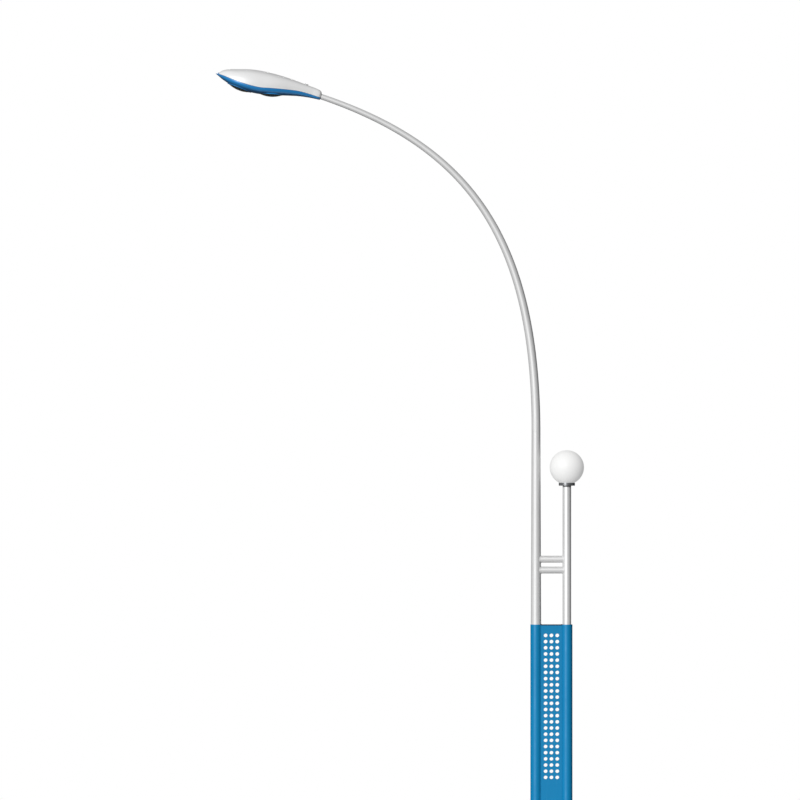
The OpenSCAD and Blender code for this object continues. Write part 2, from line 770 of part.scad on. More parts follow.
module lens_frames() {
    color(lamp_blue) both_units() difference() {
        translate([0, 0, -lip_h]) cylinder(r = lens_frame_r, h = frame_h + lip_h);
        cylinder(r = pocket_r, h = frame_h + 1);
        translate([0, 0, -lip_h - 1]) cylinder(r = lip_r, h = lip_h + 2);
        for (a = [45 : 90 : 315]) rotate([0, 0, a]) translate([frame_screw_x, 0, -lip_h - 1])
            cylinder(r = frame_screw_r, h = 12);
    }
}

// A domed lens with a flat flange; its bulge points out of the housing
module dome_lens() {
    chord = lip_r - touch;
    ball = (pow(chord, 2) + pow(lens_sag, 2)) / (2 * lens_sag);
    difference() {
        union() {
            translate([0, 0, 0.1]) cylinder(r = pocket_r - touch, h = lens_t);
            intersection() {
                translate([0, 0, ball - lens_sag - 1]) sphere(r = ball);
                translate([0, 0, -2 * lens_sag]) cylinder(r = chord, h = 2 * lens_sag + 1);
            }
        }
        intersection() {
            translate([0, 0, ball - lens_sag - 1 + lens_t]) sphere(r = ball);
            translate([0, 0, -2 * lens_sag]) cylinder(r = chord - lens_t, h = 2 * lens_sag + lens_t + 1);
        }
    }
}

module lens_front() { color(lens_green) at_unit(unit_front) dome_lens(); }
module lens_rear() { color(lens_green) at_unit(unit_rear) dome_lens(); }

module lens_gaskets() {
    color(rubber_black) both_units() translate([0, 0, flange_z]) ring(pocket_r - touch, lip_r - 2, seal_t);
}

module reflectors() {
    wall = 1.5;
    top = reflector_h;
    color("gainsboro") both_units() translate([0, 0, reflector_z]) difference() {
        union() {
            cylinder(r = pocket_r - touch, h = wall);
            cylinder(r1 = lip_r - 4, r2 = reflector_r + wall, h = top);
        }
        translate([0, 0, -0.01]) cylinder(r1 = lip_r - 4 - wall, r2 = reflector_r, h = top + 0.02);
    }
}

module led_boards() {
    chip_h = 1.6;
    color("honeydew") both_units() translate([0, 0, board_z]) {
        cylinder(r = reflector_r + 3, h = board_t);
        for (ring_r = [12, 28], a = [0 : 360 / (ring_r / 4 + 1) : 359])
            rotate([0, 0, a]) translate([ring_r - 2.5, -2.5, -chip_h]) cube([5, 5, chip_h + 0.2]);
    }
}

module heat_sinks() {
    sink_r = 56;
    fin_t = 2.5;
    fin_h = 14;
    color(metal) both_units() translate([0, 0, sink_z]) {
        cylinder(r = sink_r, h = 4);
        for (k = [-4 : 4]) let (y = k * 12, l = sqrt(pow(sink_r, 2) - pow(y, 2)) - 1)
            translate([-l, y - fin_t / 2, 3]) cube([2 * l, fin_t, fin_h + 1]);
    }
}

module lens_screws() {
    color(metal) both_units() for (a = [45 : 90 : 315]) rotate([0, 0, a])
        translate([frame_screw_x, 0, 0]) {
            translate([0, 0, -lip_h - 2]) cylinder(r = frame_wall / 2 - screw_head_inset, h = 2);
            translate([0, 0, -lip_h - 1]) cylinder(r = frame_screw_r - pin_fit, h = 11);
        }
}

// ---- Luminaire casing ----

module lamp_housing() {
    outer = [for (u = tray_stations)
        section(u, half_at(u), seam_at(u) - seam_gap, keel_at(u) - seam_at(u) + seam_gap, tray_n)];
    inner = [for (u = tray_stations)
        let (f = hollow(u), s = seam_at(u) - seam_gap, h = half_at(u) - tray_wall, r = s - keel_at(u) - tray_wall)
        section(u, h * f + 1 - f, s, -max(0.5, r * f), tray_n)];
    color(lamp_blue) difference() {
        at_luminaire() shell(reversed(outer), reversed(inner), []);
        both_units() translate([0, 0, -30]) cylinder(r = lens_frame_r + 0.4, h = 60);
    }
}
function reversed(grid) = [for (row = grid) [for (j = [len(row) - 1 : -1 : 0]) row[j]]];

latch_u = 165;
latch_column = 8;
module top_cover() {
    outer = [for (u = cover_stations)
        section(u, half_at(u), seam_at(u) + seam_gap, cover_at(u) - seam_at(u) - seam_gap, cover_n)];
    inner = [for (u = cover_stations)
        section(u, half_at(u) - cover_wall, seam_at(u) + seam_gap,
            max(0.4, cover_at(u) - seam_at(u) - seam_gap - cover_wall), cover_n)];
    // open cells: the latch's hole, and the slot in front for the hinge leaf
    color(cover_grey) at_luminaire()
        shell(outer, inner, [[8, 8, latch_column, latch_column], [26, 28, 7, 9]]);
}

// Lip seal standing in the joint, one strip along each side
seal_w = 5;
seal_stations = [for (u = tray_stations) if (u > 30 && u < nose_u - 15) u];
module cover_gasket() {
    color(rubber_black) at_luminaire() for (s = [-1, 1])
        loft([for (u = seal_stations) let (
                y = (half_at(u) - tray_wall) * 0.985 - touch, z = seam_at(u),
                q = [[y - seal_w, z - 6], [y, z - 6], [y, z + 3], [y - seal_w, z + 3]])
            [for (p = s > 0 ? q : [q[1], q[0], q[3], q[2]]) [u, s * p[0], p[1]]]]);
}

axis_u = 927;
axis_w = -96;
barrel_r = 6;
cover_pin_r = 3;
leaf_half = 8;
lug_half = 16;

module cover_barrel(y0, y1) {
    translate([axis_u, y1, axis_w]) rotate([90, 0, 0]) cylinder(r = barrel_r, h = y1 - y0);
}
module cover_bore() {
    translate([axis_u, 50, axis_w]) rotate([90, 0, 0]) cylinder(r = cover_pin_r + pin_fit, h = 100);
}

// Fixed hinge bracket on the housing's solid nose
module cover_hinge() {
    deck = seam_at(axis_u) - seam_gap;
    color(lamp_blue) at_luminaire() difference() {
        union() {
            for (y = [leaf_half + touch, -lug_half]) {
                cover_barrel(y, y + lug_half - leaf_half - touch);
                translate([axis_u - 5, y, deck + 0.1])
                    cube([10, lug_half - leaf_half - touch, axis_w - deck - 0.1]);
            }
        }
        cover_bore();
    }
}

module cover_hinge_pin() {
    color(metal) at_luminaire() translate([axis_u, lug_half + 2, axis_w]) rotate([90, 0, 0])
        cylinder(r = cover_pin_r, h = 2 * lug_half + 4);
}

// Hinge leaf under the cover's front
module cover_hinge_leaf() {
    t = 3;
    inside = [for (u = [904, 888, 872]) [u, cover_at(u) - cover_wall - 1.2]];
    color(metal) at_luminaire() difference() {
        union() {
            cover_barrel(-leaf_half, leaf_half);
            translate([0, leaf_half, 0]) rotate([90, 0, 0]) linear_extrude(2 * leaf_half)
                polygon(concat([[axis_u - 2, axis_w + 4]], inside,
                    [for (k = [2 : -1 : 0]) inside[k] - [0, t]], [[axis_u - 5, axis_w]]));
        }
        cover_bore();
    }
}

// Quarter-turn latch in the cover, drawn released: its cross bar lines up with the slot below it
latch_r = 4;
latch_head_r = 17;
bar_l = 22;
bar_w = 6;
keeper_w = 26;                            // underside of the keeper plate
keeper_t = 3;
module cover_latch() {
    top = max(cover_at(latch_u - latch_head_r), cover_at(latch_u + latch_head_r)) + touch;
    color(metal) at_luminaire() translate([latch_u, 0, 0]) {
        difference() {
            translate([0, 0, top]) cylinder(r = latch_head_r, h = 4);
            translate([-12, -1.5, top + 2.5]) cube([24, 3, 4]);
        }
        translate([0, 0, keeper_w - 5]) cylinder(r = latch_r, h = top - keeper_w + 6);
        translate([-bar_l / 2, -bar_w / 2, keeper_w - 5]) cube([bar_l, bar_w, 4.5]);
    }
}

// ---- Gear tray ----
// The tray is tilted along the joint; its own frame starts at its rear edge.

tray_u0 = 152;
tray_u1 = 566;
tray_w0 = -10;
tray_tilt = 11;
tray_half = 44;
tray_t = 2.5;
tray_l = (tray_u1 - tray_u0) / cos(tray_tilt);
pillar_r = 5;
module at_tray() {
    at_luminaire() translate([tray_u0, 0, tray_w0]) rotate([0, tray_tilt, 0]) children();
}
function tray_w(u) = tray_w0 - (u - tray_u0) * tan(tray_tilt);
function floor_at(u, y) =
    let (s = seam_at(u) - seam_gap, r = s - keel_at(u) - tray_wall, h = half_at(u) - tray_wall)
    s - r * pow(1 - pow(y / h, tray_n), 1 / tray_n);
pillar_y = 30;
pillar_us = [tray_u0 + 12, tray_u1 - 8];

module gear_tray() {
    color(metal) union() {
        at_tray() difference() {
            translate([0, -tray_half, 0]) cube([tray_l, 2 * tray_half, tray_t]);
            for (x = [110, 190, 270]) translate([x, 0, -1]) cylinder(r = 9, h = tray_t + 2);
        }
        at_luminaire() for (u = pillar_us, y = [-pillar_y, pillar_y])
            let (z = floor_at(u - pillar_r, pillar_y + pillar_r) + 0.8)
            translate([u, y, z]) cylinder(r = pillar_r, h = tray_w(u) - z + 1);
    }
}

module latch_bracket() {
    upright = 14;
    color(metal) at_luminaire() {
        base = tray_w(latch_u + 22) + tray_t + 1.5;
        translate([latch_u + 20, -12, base]) cube([3, 24, keeper_w - base + 1]);
        difference() {
            translate([latch_u - upright - 6, -12, keeper_w]) cube([upright + 29, 24, keeper_t]);
            translate([latch_u - 15, -4.5, keeper_w - 1]) cube([30, 9, keeper_t + 2]);
        }
    }
}

module led_driver() {
    color("silver") at_tray() translate([130, 0, tray_t + 0.1]) {
        translate([0, -32, 0]) cube([150, 64, 30]);
        for (x = [-12, 150]) difference() {
            translate([x, -20, 0]) cube([12, 40, 3]);
            translate([x + 6, 0, -1]) cylinder(r = 2.5, h = 5);
        }
    }
}

module luminaire_terminal() {
    color("ivory") at_tray() translate([60, -30, tray_t + 0.1]) difference() {
        cube([24, 60, 20]);
        for (k = [0 : 3]) translate([12, 9 + 14 * k, 6]) cylinder(r = 4, h = 20);
    }
}

// ---- Spigot clamp ----

clamp_u = 62;
clamp_l = 50;
saddle_t = 4;
ear_half = 40;
ear_t = 7;
clamp_bolt_r = 4;
clamp_bolt_y = 34;
module saddle(side) {
    difference() {
        union() {
            rotate([0, 90, 0]) cylinder(r = arm_tip_r + saddle_t, h = clamp_l);
            translate([0, -ear_half, side > 0 ? 1 : -1 - ear_t]) cube([clamp_l, 2 * ear_half, ear_t]);
        }
        translate([-1, -60, side > 0 ? -59 : -1]) cube([clamp_l + 2, 120, 60]);
        translate([-1, 0, 0]) rotate([0, 90, 0]) cylinder(r = arm_tip_r + weld, h = clamp_l + 2);
        for (x = [12, clamp_l - 12], y = [-clamp_bolt_y, clamp_bolt_y])
            translate([x, y, -30]) cylinder(r = clamp_bolt_r + weld, h = 60);
    }
}

module clamp_lower() {
    color(metal) at_luminaire() translate([clamp_u, 0, 0]) {
        saddle(-1);
        foot = floor_at(clamp_u, 12) + 0.8;
        difference() {
            translate([2, -12, foot]) cube([clamp_l - 4, 24, -foot - 20]);
            translate([-1, 0, 0]) rotate([0, 90, 0]) cylinder(r = arm_tip_r + 1, h = clamp_l + 2);
        }
    }
}
module clamp_upper() { color(metal) at_luminaire() translate([clamp_u, 0, 0]) saddle(1); }

module clamp_bolts() {
    top = 1 + ear_t;
    color("dimgray") at_luminaire()
        for (x = [12, clamp_l - 12], y = [-clamp_bolt_y, clamp_bolt_y])
            translate([clamp_u + x, y, 0]) {
                translate([0, 0, -top - 5]) cylinder(r = clamp_bolt_r, h = 2 * top + 6);
                translate([0, 0, top + 0.1]) cylinder(r = 6, h = 4, $fn = 6);
                translate([0, 0, -top - 4.1]) cylinder(r = 6, h = 4, $fn = 6);
            }
}

// ---- Cables held inside the column and poles ----

corner = 30;
// From the joint box up, through the tube's grommet and up the tube
function cable_start(s) = [
    [s * box_w / 4, box_z + box_h - 10], [s * box_w / 4, grommet_z - corner - 8],
    [s * (box_w / 4 + 3), grommet_z - corner / 2], [s * (box_w / 4 + 12), grommet_z - 4],
    [s * (box_w / 4 + corner), grommet_z], [s * (tube_x - sleeve_r + 12), grommet_z],
    [s * (tube_x - 22), grommet_z + 3], [s * (tube_x - 8), grommet_z + 14],
    [s * tube_x, grommet_z + corner + 4]
];
cable_steps = 22;

module pole_cable() {
    color(rubber_black) cable(concat(cable_start(-1), [[shaft_x, shaft_foot], [shaft_x, column_h]],
        [for (i = [0 : cable_steps]) arm_at(i / cable_steps)],
        [arm_end + arm_dir * arm_socket, arm_end + arm_dir * (arm_socket + 40)]), cable_y);
}

module post_cable() {
    color(rubber_black) cable(concat(cable_start(1), [[tube_x, shaft_foot], [tube_x, holder_z - 2]]), cable_y);
}

base_plate();
base_gussets();
sleeve_left();
sleeve_right();
web_front();
web_rear();
web_cap();
web_diaphragms();
door_frame();
door_hinge_pins();
door_gasket();
access_door();
door_lock();
equipment_plate();
fuse_box();
breaker();
breaker_lever();
earth_bolt();
cable_grommets();
pole_cable();
post_cable();
pole_stops();
post_bushes();
sleeve_screws();
main_shaft();
joint_sleeve();
curved_arm();
side_post();
crossbar_lower();
crossbar_upper();
globe_fitter();
globe_gasket();
globe();
globe_screws();
lamp_holder();
globe_bulb();
lamp_housing();
top_cover();
cover_gasket();
cover_hinge();
cover_hinge_pin();
cover_hinge_leaf();
cover_latch();
latch_bracket();
clamp_lower();
clamp_upper();
clamp_bolts();
gear_tray();
led_driver();
luminaire_terminal();
lens_frames();
lens_front();
lens_rear();
lens_gaskets();
reflectors();
led_boards();
heat_sinks();
lens_screws();
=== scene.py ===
import json
from math import acos, atan2, cos, pi, radians, sin, sqrt, tan

import bmesh
import bpy
from mathutils import Matrix, Vector


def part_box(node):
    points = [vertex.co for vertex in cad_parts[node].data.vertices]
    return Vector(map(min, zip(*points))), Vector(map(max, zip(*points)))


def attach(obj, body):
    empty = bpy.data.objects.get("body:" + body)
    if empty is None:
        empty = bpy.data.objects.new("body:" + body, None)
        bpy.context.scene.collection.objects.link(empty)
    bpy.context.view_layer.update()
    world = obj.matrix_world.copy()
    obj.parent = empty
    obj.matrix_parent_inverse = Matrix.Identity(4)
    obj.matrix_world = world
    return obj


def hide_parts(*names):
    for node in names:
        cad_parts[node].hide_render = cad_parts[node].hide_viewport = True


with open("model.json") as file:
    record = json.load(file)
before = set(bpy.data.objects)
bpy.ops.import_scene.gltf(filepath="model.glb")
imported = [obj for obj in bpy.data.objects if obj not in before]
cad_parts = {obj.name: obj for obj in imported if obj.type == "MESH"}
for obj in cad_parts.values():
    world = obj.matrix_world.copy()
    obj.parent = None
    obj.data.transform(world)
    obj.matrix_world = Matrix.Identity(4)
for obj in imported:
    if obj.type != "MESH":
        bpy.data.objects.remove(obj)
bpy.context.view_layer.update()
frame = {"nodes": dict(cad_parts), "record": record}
scene = bpy.context.scene
MM = 0.001


def middle(node):
    """The centre of a CAD node's box."""
    low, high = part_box(node)
    return (low + high) / 2


def span(node):
    """The size of a CAD node's box."""
    low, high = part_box(node)
    return high - low


def shift(x, y, z):
    """A frame moved along its axes."""
    return Matrix.Translation((x, y, z))


def spin(angle, axis):
    """A frame turned about one of its axes."""
    return Matrix.Rotation(angle, 4, axis)


# ---------------------------------------------------------------- meshes

FLAT = 18                          # degrees: keeps the facets of a plate's rounded edges apart
SOFT = 32                          # degrees: smooths over the facets of round pieces
EDGE_STEPS = 2                     # facets of a plate's rounded edge
ON_AXIS = 1e-7                     # a radius below this is a point on the axis


def mark_edges(bm, sharp):
    """Smooths the edges that turn by less than an angle in degrees."""
    for edge in bm.edges:
        if len(edge.link_faces) == 2:
            edge.smooth = edge.calc_face_angle(0) < radians(sharp)


def add(name, bm, sharp=SOFT):
    """Makes an object of a bmesh, smooth apart from edges sharper than an angle in degrees."""
    bmesh.ops.recalc_face_normals(bm, faces=bm.faces)
    for face in bm.faces:
        face.smooth = True
    mark_edges(bm, sharp)
    mesh = bpy.data.meshes.new(name)
    bm.to_mesh(mesh)
    bm.free()
    piece = bpy.data.objects.new(name, mesh)
    scene.collection.objects.link(piece)
    return piece


def bridge(bm, a, b):
    """Faces between two closed rings of vertices; either may be a single vertex."""
    n = max(len(a), len(b))
    for i in range(n):
        j = (i + 1) % n
        if len(a) == 1:
            bm.faces.new((a[0], b[i], b[j]))
        elif len(b) == 1:
            bm.faces.new((a[i], b[0], a[j]))
        else:
            bm.faces.new((a[i], b[i], b[j], a[j]))


def loft(bm, rings, looped=False, capped=True):
    """Skins a row of point rings; looped joins the last ring to the first."""
    made = [[bm.verts.new(p) for p in ring] for ring in rings]
    for a, b in zip(made, made[1:] + ([made[0]] if looped else [])):
        bridge(bm, a, b)
    if capped and not looped:
        for ring in (made[0], made[-1]):
            if len(ring) > 2:
                bm.faces.new(ring)
    return made


def angles(steps):
    """The angles of a full turn in equal steps."""
    return [2 * pi * k / steps for k in range(steps)]


def turned(bm, profile, place=Matrix(), steps=96):
    """Turns a profile of (radius, height) about the Z axis; one that starts off the axis is closed."""
    rings = []
    for radius, height in profile:
        if radius < ON_AXIS:
            rings.append([place @ Vector((0, 0, height))])
        else:
            rings.append([place @ Vector((radius * cos(a), radius * sin(a), height)) for a in angles(steps)])
    loft(bm, rings, looped=profile[0][0] > ON_AXIS)


def rounded(points, radius, steps=4):
    """A closed outline with each corner rounded by an arc of about the given radius."""
    out = []
    n = len(points)
    for i in range(n):
        p, before, after = Vector(points[i]), Vector(points[i - 1]), Vector(points[(i + 1) % n])
        a, b = (before - p).normalized(), (after - p).normalized()
        angle = acos(max(-1, min(1, a.dot(b))))
        if angle > radians(170) or radius <= 0:
            out.append(p)
            continue
        reach = min(radius / tan(angle / 2), (before - p).length * 0.48, (after - p).length * 0.48)
        start, end = p + a * reach, p + b * reach
        for k in range(steps + 1):
            t = k / steps
            out.append(start * (1 - t) ** 2 + p * 2 * t * (1 - t) + end * t * t)
    return out


def circle(x, y, radius, steps=40):
    return [Vector((x + radius * cos(a), y + radius * sin(a))) for a in angles(steps)]


def rectangle(x0, y0, x1, y1, corner=0.0):
    return rounded([(x0, y0), (x1, y0), (x1, y1), (x0, y1)], corner, 5)


def area_of(loop):
    return sum(a.x * b.y - b.x * a.y for a, b in zip(loop, loop[1:] + loop[:1])) / 2


def inset(loop, distance):
    """Moves a loop to its left by a distance, corner by corner."""
    out = []
    n = len(loop)
    for i in range(n):
        a, p, b = loop[i - 1], loop[i], loop[(i + 1) % n]
        d1, d2 = (p - a).normalized(), (b - p).normalized()
        n1, n2 = Vector((-d1.y, d1.x)), Vector((-d2.y, d2.x))
        m = n1 + n2
        out.append(p + m * (distance / max(0.3, m.dot(n1))) if m.length > 1e-6 else p.copy())
    return out


def plate(bm, outline, holes, low, high, edge, place=Matrix()):
    """A flat plate between two heights, with holes and rounded edges."""
    loops = []
    for k, loop in enumerate([outline] + holes):
        loop = [Vector(p) for p in loop]
        if (area_of(loop) > 0) != (k == 0):
            loop.reverse()
        loops.append(loop)
    ends = ([], [])
    quarter = [pi / 2 * k / EDGE_STEPS for k in range(EDGE_STEPS + 1)]
    stack = [(edge * (1 - sin(a)), low + edge * (1 - cos(a))) for a in quarter]
    stack += [(edge * (1 - sin(a)), high - edge * (1 - cos(a))) for a in reversed(quarter)]
    for loop in loops:
        rings = [[place @ Vector((p.x, p.y, z)) for p in (inset(loop, d) if d > 0 else loop)] for d,
            z in stack]
        made = loft(bm, rings, capped=False)
        for side, ring in zip(ends, (made[0], made[-1])):
            for i in range(len(ring)):
                side.append(bm.edges.get((ring[i - 1], ring[i])))
    for side in ends:
        bmesh.ops.triangle_fill(bm, use_beauty=True, edges=side)


def block(bm, low, high, edge, place=Matrix()):
    """A box with rounded edges, between two corners."""
    outline = rectangle(low[0], low[1], high[0], high[1], edge * 1.5)
    plate(bm, outline, [], low[2], high[2], edge, place)


def bead(bm, path, radius, closed=False, ripple=0.12, sides=10):
    """A weld bead along a path, with the ripples of a hand-laid weld."""
    rings = []
    n = len(path)
    for i, p in enumerate(path):
        ahead = path[(i + 1) % n] if closed or i + 1 < n else p
        behind = path[i - 1] if closed or i > 0 else p
        along = (ahead - behind).normalized()
        side = along.cross(Vector((0.13, 0.97, 0.21))).normalized()
        up = along.cross(side)
        r = radius * (1 + ripple * sin(i * 2.4))
        rings.append([p + side * r * cos(a) + up * r * sin(a) for a in angles(sides)])
    loft(bm, rings, looped=closed)


def cut(piece, cutters):
    """Cuts a piece by a bmesh, which is used up."""
    cutter = add("cutters", cutters)
    change = piece.modifiers.new("cut", "BOOLEAN")
    change.operation = "DIFFERENCE"
    change.solver = "EXACT"
    change.object = cutter
    bpy.context.view_layer.update()
    ready = piece.evaluated_get(bpy.context.evaluated_depsgraph_get())
    mesh = bpy.data.meshes.new_from_object(ready)
    piece.modifiers.clear()
    piece.data = mesh
    bpy.data.objects.remove(cutter)
    bm = bmesh.new()
    bm.from_mesh(mesh)
    mark_edges(bm, SOFT)
    bm.to_mesh(mesh)
    bm.free()


def settle(piece, body, slot, *nodes):
    """Puts a finished piece on its body, with its finish, in place of CAD nodes."""
    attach(piece, body)
    if nodes:
        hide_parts(*nodes)
    piece.data.materials.clear()
    piece.data.materials.append(finishes[slot])


def put(name, bm, slot, *nodes, body="post", sharp=SOFT):
    """Makes a piece of a bmesh and settles it."""
    settle(add(name, bm, sharp), body, slot, *nodes)


# ---------------------------------------------------------------- materials


def tone(r, g, b):
    """A colour from its display values, 0 to 255."""
    return tuple(((c / 255 + 0.055) / 1.055) ** 2.4 if c > 10 else c / 255 / 12.92
        for c in (r, g, b)) + (1.0,)


def dimmed(colour, share):
    """A darker colour of the same hue."""
    return tuple(share * c for c in colour[:3]) + (1,)


class Finish:
    """A procedural material in the object's own metres."""

    def __init__(self, name, rough, metal=0.0):
        self.material = bpy.data.materials.new(name)
        self.material.use_nodes = True
        self.nodes = self.material.node_tree.nodes
        self.links = self.material.node_tree.links
        self.shader = self.nodes["Principled BSDF"]
        self.shader.inputs["Roughness"].default_value = rough
        self.shader.inputs["Metallic"].default_value = metal
        self.place = self.nodes.new("ShaderNodeTexCoord").outputs["Object"]
        self.height = None

    def node(self, kind, **values):
        made = self.nodes.new(kind)
        for key, value in values.items():
            setattr(made, key, value)
        return made

    def join(self, source, node, key):
        self.links.new(source, node.inputs[key])

    def feed(self, node, key, value):
        """Links an output to an input, or sets the input to a value."""
        if hasattr(value, "is_output"):
            self.links.new(value, node.inputs[key])
        else:
            node.inputs[key].default_value = value

    def noise(self, scale, detail=4.0, stretch=(1, 1, 1), rough=0.55):
        """Noise of a given number of features a metre, as a factor output."""
        grid = self.node("ShaderNodeMapping")
        grid.inputs["Scale"].default_value = stretch
        self.join(self.place, grid, "Vector")
        made = self.node("ShaderNodeTexNoise")
        made.inputs["Scale"].default_value = scale
        made.inputs["Detail"].default_value = detail
        made.inputs["Roughness"].default_value = rough
        self.join(grid.outputs["Vector"], made, "Vector")
        return made.outputs["Fac"]

    def ramp(self, source, *stops):
        """A colour ramp with stops of (place, colour)."""
        made = self.node("ShaderNodeValToRGB")
        band = made.color_ramp
        while len(band.elements) < len(stops):
            band.elements.new(0.5)
        for element, (at, colour) in zip(band.elements, stops):
            element.position = at
            element.color = colour if hasattr(colour, "__len__") else (colour, colour, colour, 1)
        self.join(source, made, "Fac")
        return made.outputs["Color"]

    def mix(self, factor, a, b, blend="MIX"):
        made = self.node("ShaderNodeMix", data_type="RGBA", blend_type=blend)
        for key, value in ((0, factor), (6, a), (7, b)):
            self.feed(made, key, value)
        return made.outputs[2]

    def math(self, operation, a, b):
        made = self.node("ShaderNodeMath", operation=operation)
        for key, value in ((0, a), (1, b)):
            self.feed(made, key, value)
        return made.outputs[0]

    def colour(self, source):
        self.join(source, self.shader, "Base Color")

    def roughness(self, source):
        self.join(source, self.shader, "Roughness")

    def bump(self, source, depth, strength=1.0):
        """Adds a bump of a given depth in metres to those made before."""
        made = self.node("ShaderNodeBump")
        made.inputs["Distance"].default_value = depth
        made.inputs["Strength"].default_value = strength
        self.join(source, made, "Height")
        if self.height is not None:
            self.join(self.height, made, "Normal")
        self.height = made.outputs["Normal"]
        self.join(self.height, self.shader, "Normal")

    def set(self, **values):
        for key, value in values.items():
            self.shader.inputs[key.replace("_", " ")].default_value = value


def painted(name, base, deep, light, rough=0.4, flake=0.4, coat=0.15, gloss=0.5, dust=0.12):
    """Sprayed metallic paint: drift of tone, faint rain streaks, dust and an orange-peel skin."""
    f = Finish(name, rough, flake)
    drift = f.noise(1.6, 3.0)
    body = f.ramp(drift, (0.25, tone(*deep)), (0.5, tone(*base)), (0.78, tone(*light)))
    fleck = f.ramp(f.noise(900.0, 2.0), (0.35, 0.95), (0.65, 1.0))
    body = f.mix(1.0, body, fleck, "MULTIPLY")
    streaks = f.noise(46.0, 5.0, stretch=(1, 1, 0.035), rough=0.6)
    streak_mask = f.ramp(streaks, (0.56, 0.0), (0.86, dust))
    body = f.mix(streak_mask, body, f.mix(0.35, body, tone(176, 178, 176)))
    specks = f.ramp(f.noise(75.0, 6.0, rough=0.7), (0.68, 0.0), (0.76, dust))
    f.colour(f.mix(specks, body, tone(120, 118, 110)))
    f.roughness(f.ramp(f.noise(9.0, 6.0), (0.3, rough * 0.9), (0.7, rough * 1.15)))
    f.bump(f.noise(520.0, 2.0), 0.0001, 0.3)
    f.bump(f.noise(60.0, 3.0), 0.0003, 0.1)
    f.set(Coat_Weight=coat, Coat_Roughness=0.3, Specular_IOR_Level=gloss)
    return f.material


def metal(name, base, rough, grain=(1, 1, 0.04), scale=900.0, depth=0.00004):
    """Bare metal with a brushed grain, dull patches and small stains."""
    f = Finish(name, rough, 1.0)
    lines = f.noise(scale, 4.0, stretch=grain)
    patch = f.noise(22.0, 5.0)
    shade = f.ramp(patch, (0.3, dimmed(base, 0.78)), (0.7, base))
    f.colour(f.mix(1.0, shade, f.ramp(lines, (0.3, 0.86), (0.7, 1.0)), "MULTIPLY"))
    f.roughness(f.ramp(patch, (0.3, rough * 1.35), (0.7, rough * 0.85)))
    f.bump(lines, depth, 0.5)
    return f.material


def cast(name, base, rough=0.5):
    """Sand-cast aluminium: a fine grain with shallow pits."""
    f = Finish(name, rough, 0.9)
    grain = f.noise(700.0, 5.0, rough=0.7)
    patch = f.noise(30.0, 4.0)
    f.colour(f.ramp(patch, (0.3, dimmed(base, 0.8)), (0.72, base)))
    f.roughness(f.ramp(grain, (0.3, rough * 0.85), (0.7, rough * 1.25)))
    f.bump(grain, 0.0002, 0.6)
    return f.material


def plastic(name, base, rough=0.45, grain=1100.0, depth=0.00008, coat=0.0):
    """Moulded plastic or rubber: a fine spark-eroded grain and a little drift of tone."""
    f = Finish(name, rough)
    drift = f.noise(35.0, 4.0)
    darker = dimmed(base, 0.82)
    f.colour(f.ramp(drift, (0.3, darker), (0.7, base)))
    f.roughness(f.ramp(f.noise(140.0, 4.0), (0.3, rough * 0.88), (0.7, rough * 1.15)))
    f.bump(f.noise(grain, 2.0), depth, 0.5)
    f.set(Coat_Weight=coat, Coat_Roughness=0.1)
    return f.material


def opal(name, base, shade, rough, glow):
    """Opal acrylic with faint dust on its upper half; glow stands for light scattered through it."""
    f = Finish(name, rough)
    dust = f.noise(38.0, 6.0, rough=0.65)
    up = f.node("ShaderNodeSeparateXYZ")
    f.join(f.node("ShaderNodeNewGeometry").outputs["Normal"], up, "Vector")
    top = f.math("MULTIPLY", f.math("MAXIMUM", up.outputs["Z"], 0.0), 0.55)
    f.colour(f.mix(f.math("MULTIPLY", f.ramp(dust, (0.42, 0.0), (0.75, 1.0)), top), tone(*base),
        tone(*shade)))
    f.roughness(f.ramp(dust, (0.3, rough * 0.8), (0.75, rough * 1.5)))
    f.bump(f.noise(14.0, 2.0), 0.0006, 0.15)
    f.set(Coat_Weight=0.04, Coat_Roughness=0.35, Emission_Color=(1, 1, 1, 1), Emission_Strength=glow)
    return f.material


def glass(name, base, rough=0.06):
    """Moulded glass with a green-grey body and faint prisms."""
    f = Finish(name, rough)
    film = f.noise(24.0, 5.0)
    f.colour(f.ramp(film, (0.3, dimmed(tone(*base), 0.75)), (0.7, tone(*base))))
    f.roughness(f.ramp(film, (0.35, rough), (0.75, rough * 2.4)))
    f.bump(f.noise(60.0, 2.0), 0.0007, 0.2)
    f.set(Transmission_Weight=0.72, IOR=1.5, Coat_Weight=0.5, Coat_Roughness=0.04)
    return f.material


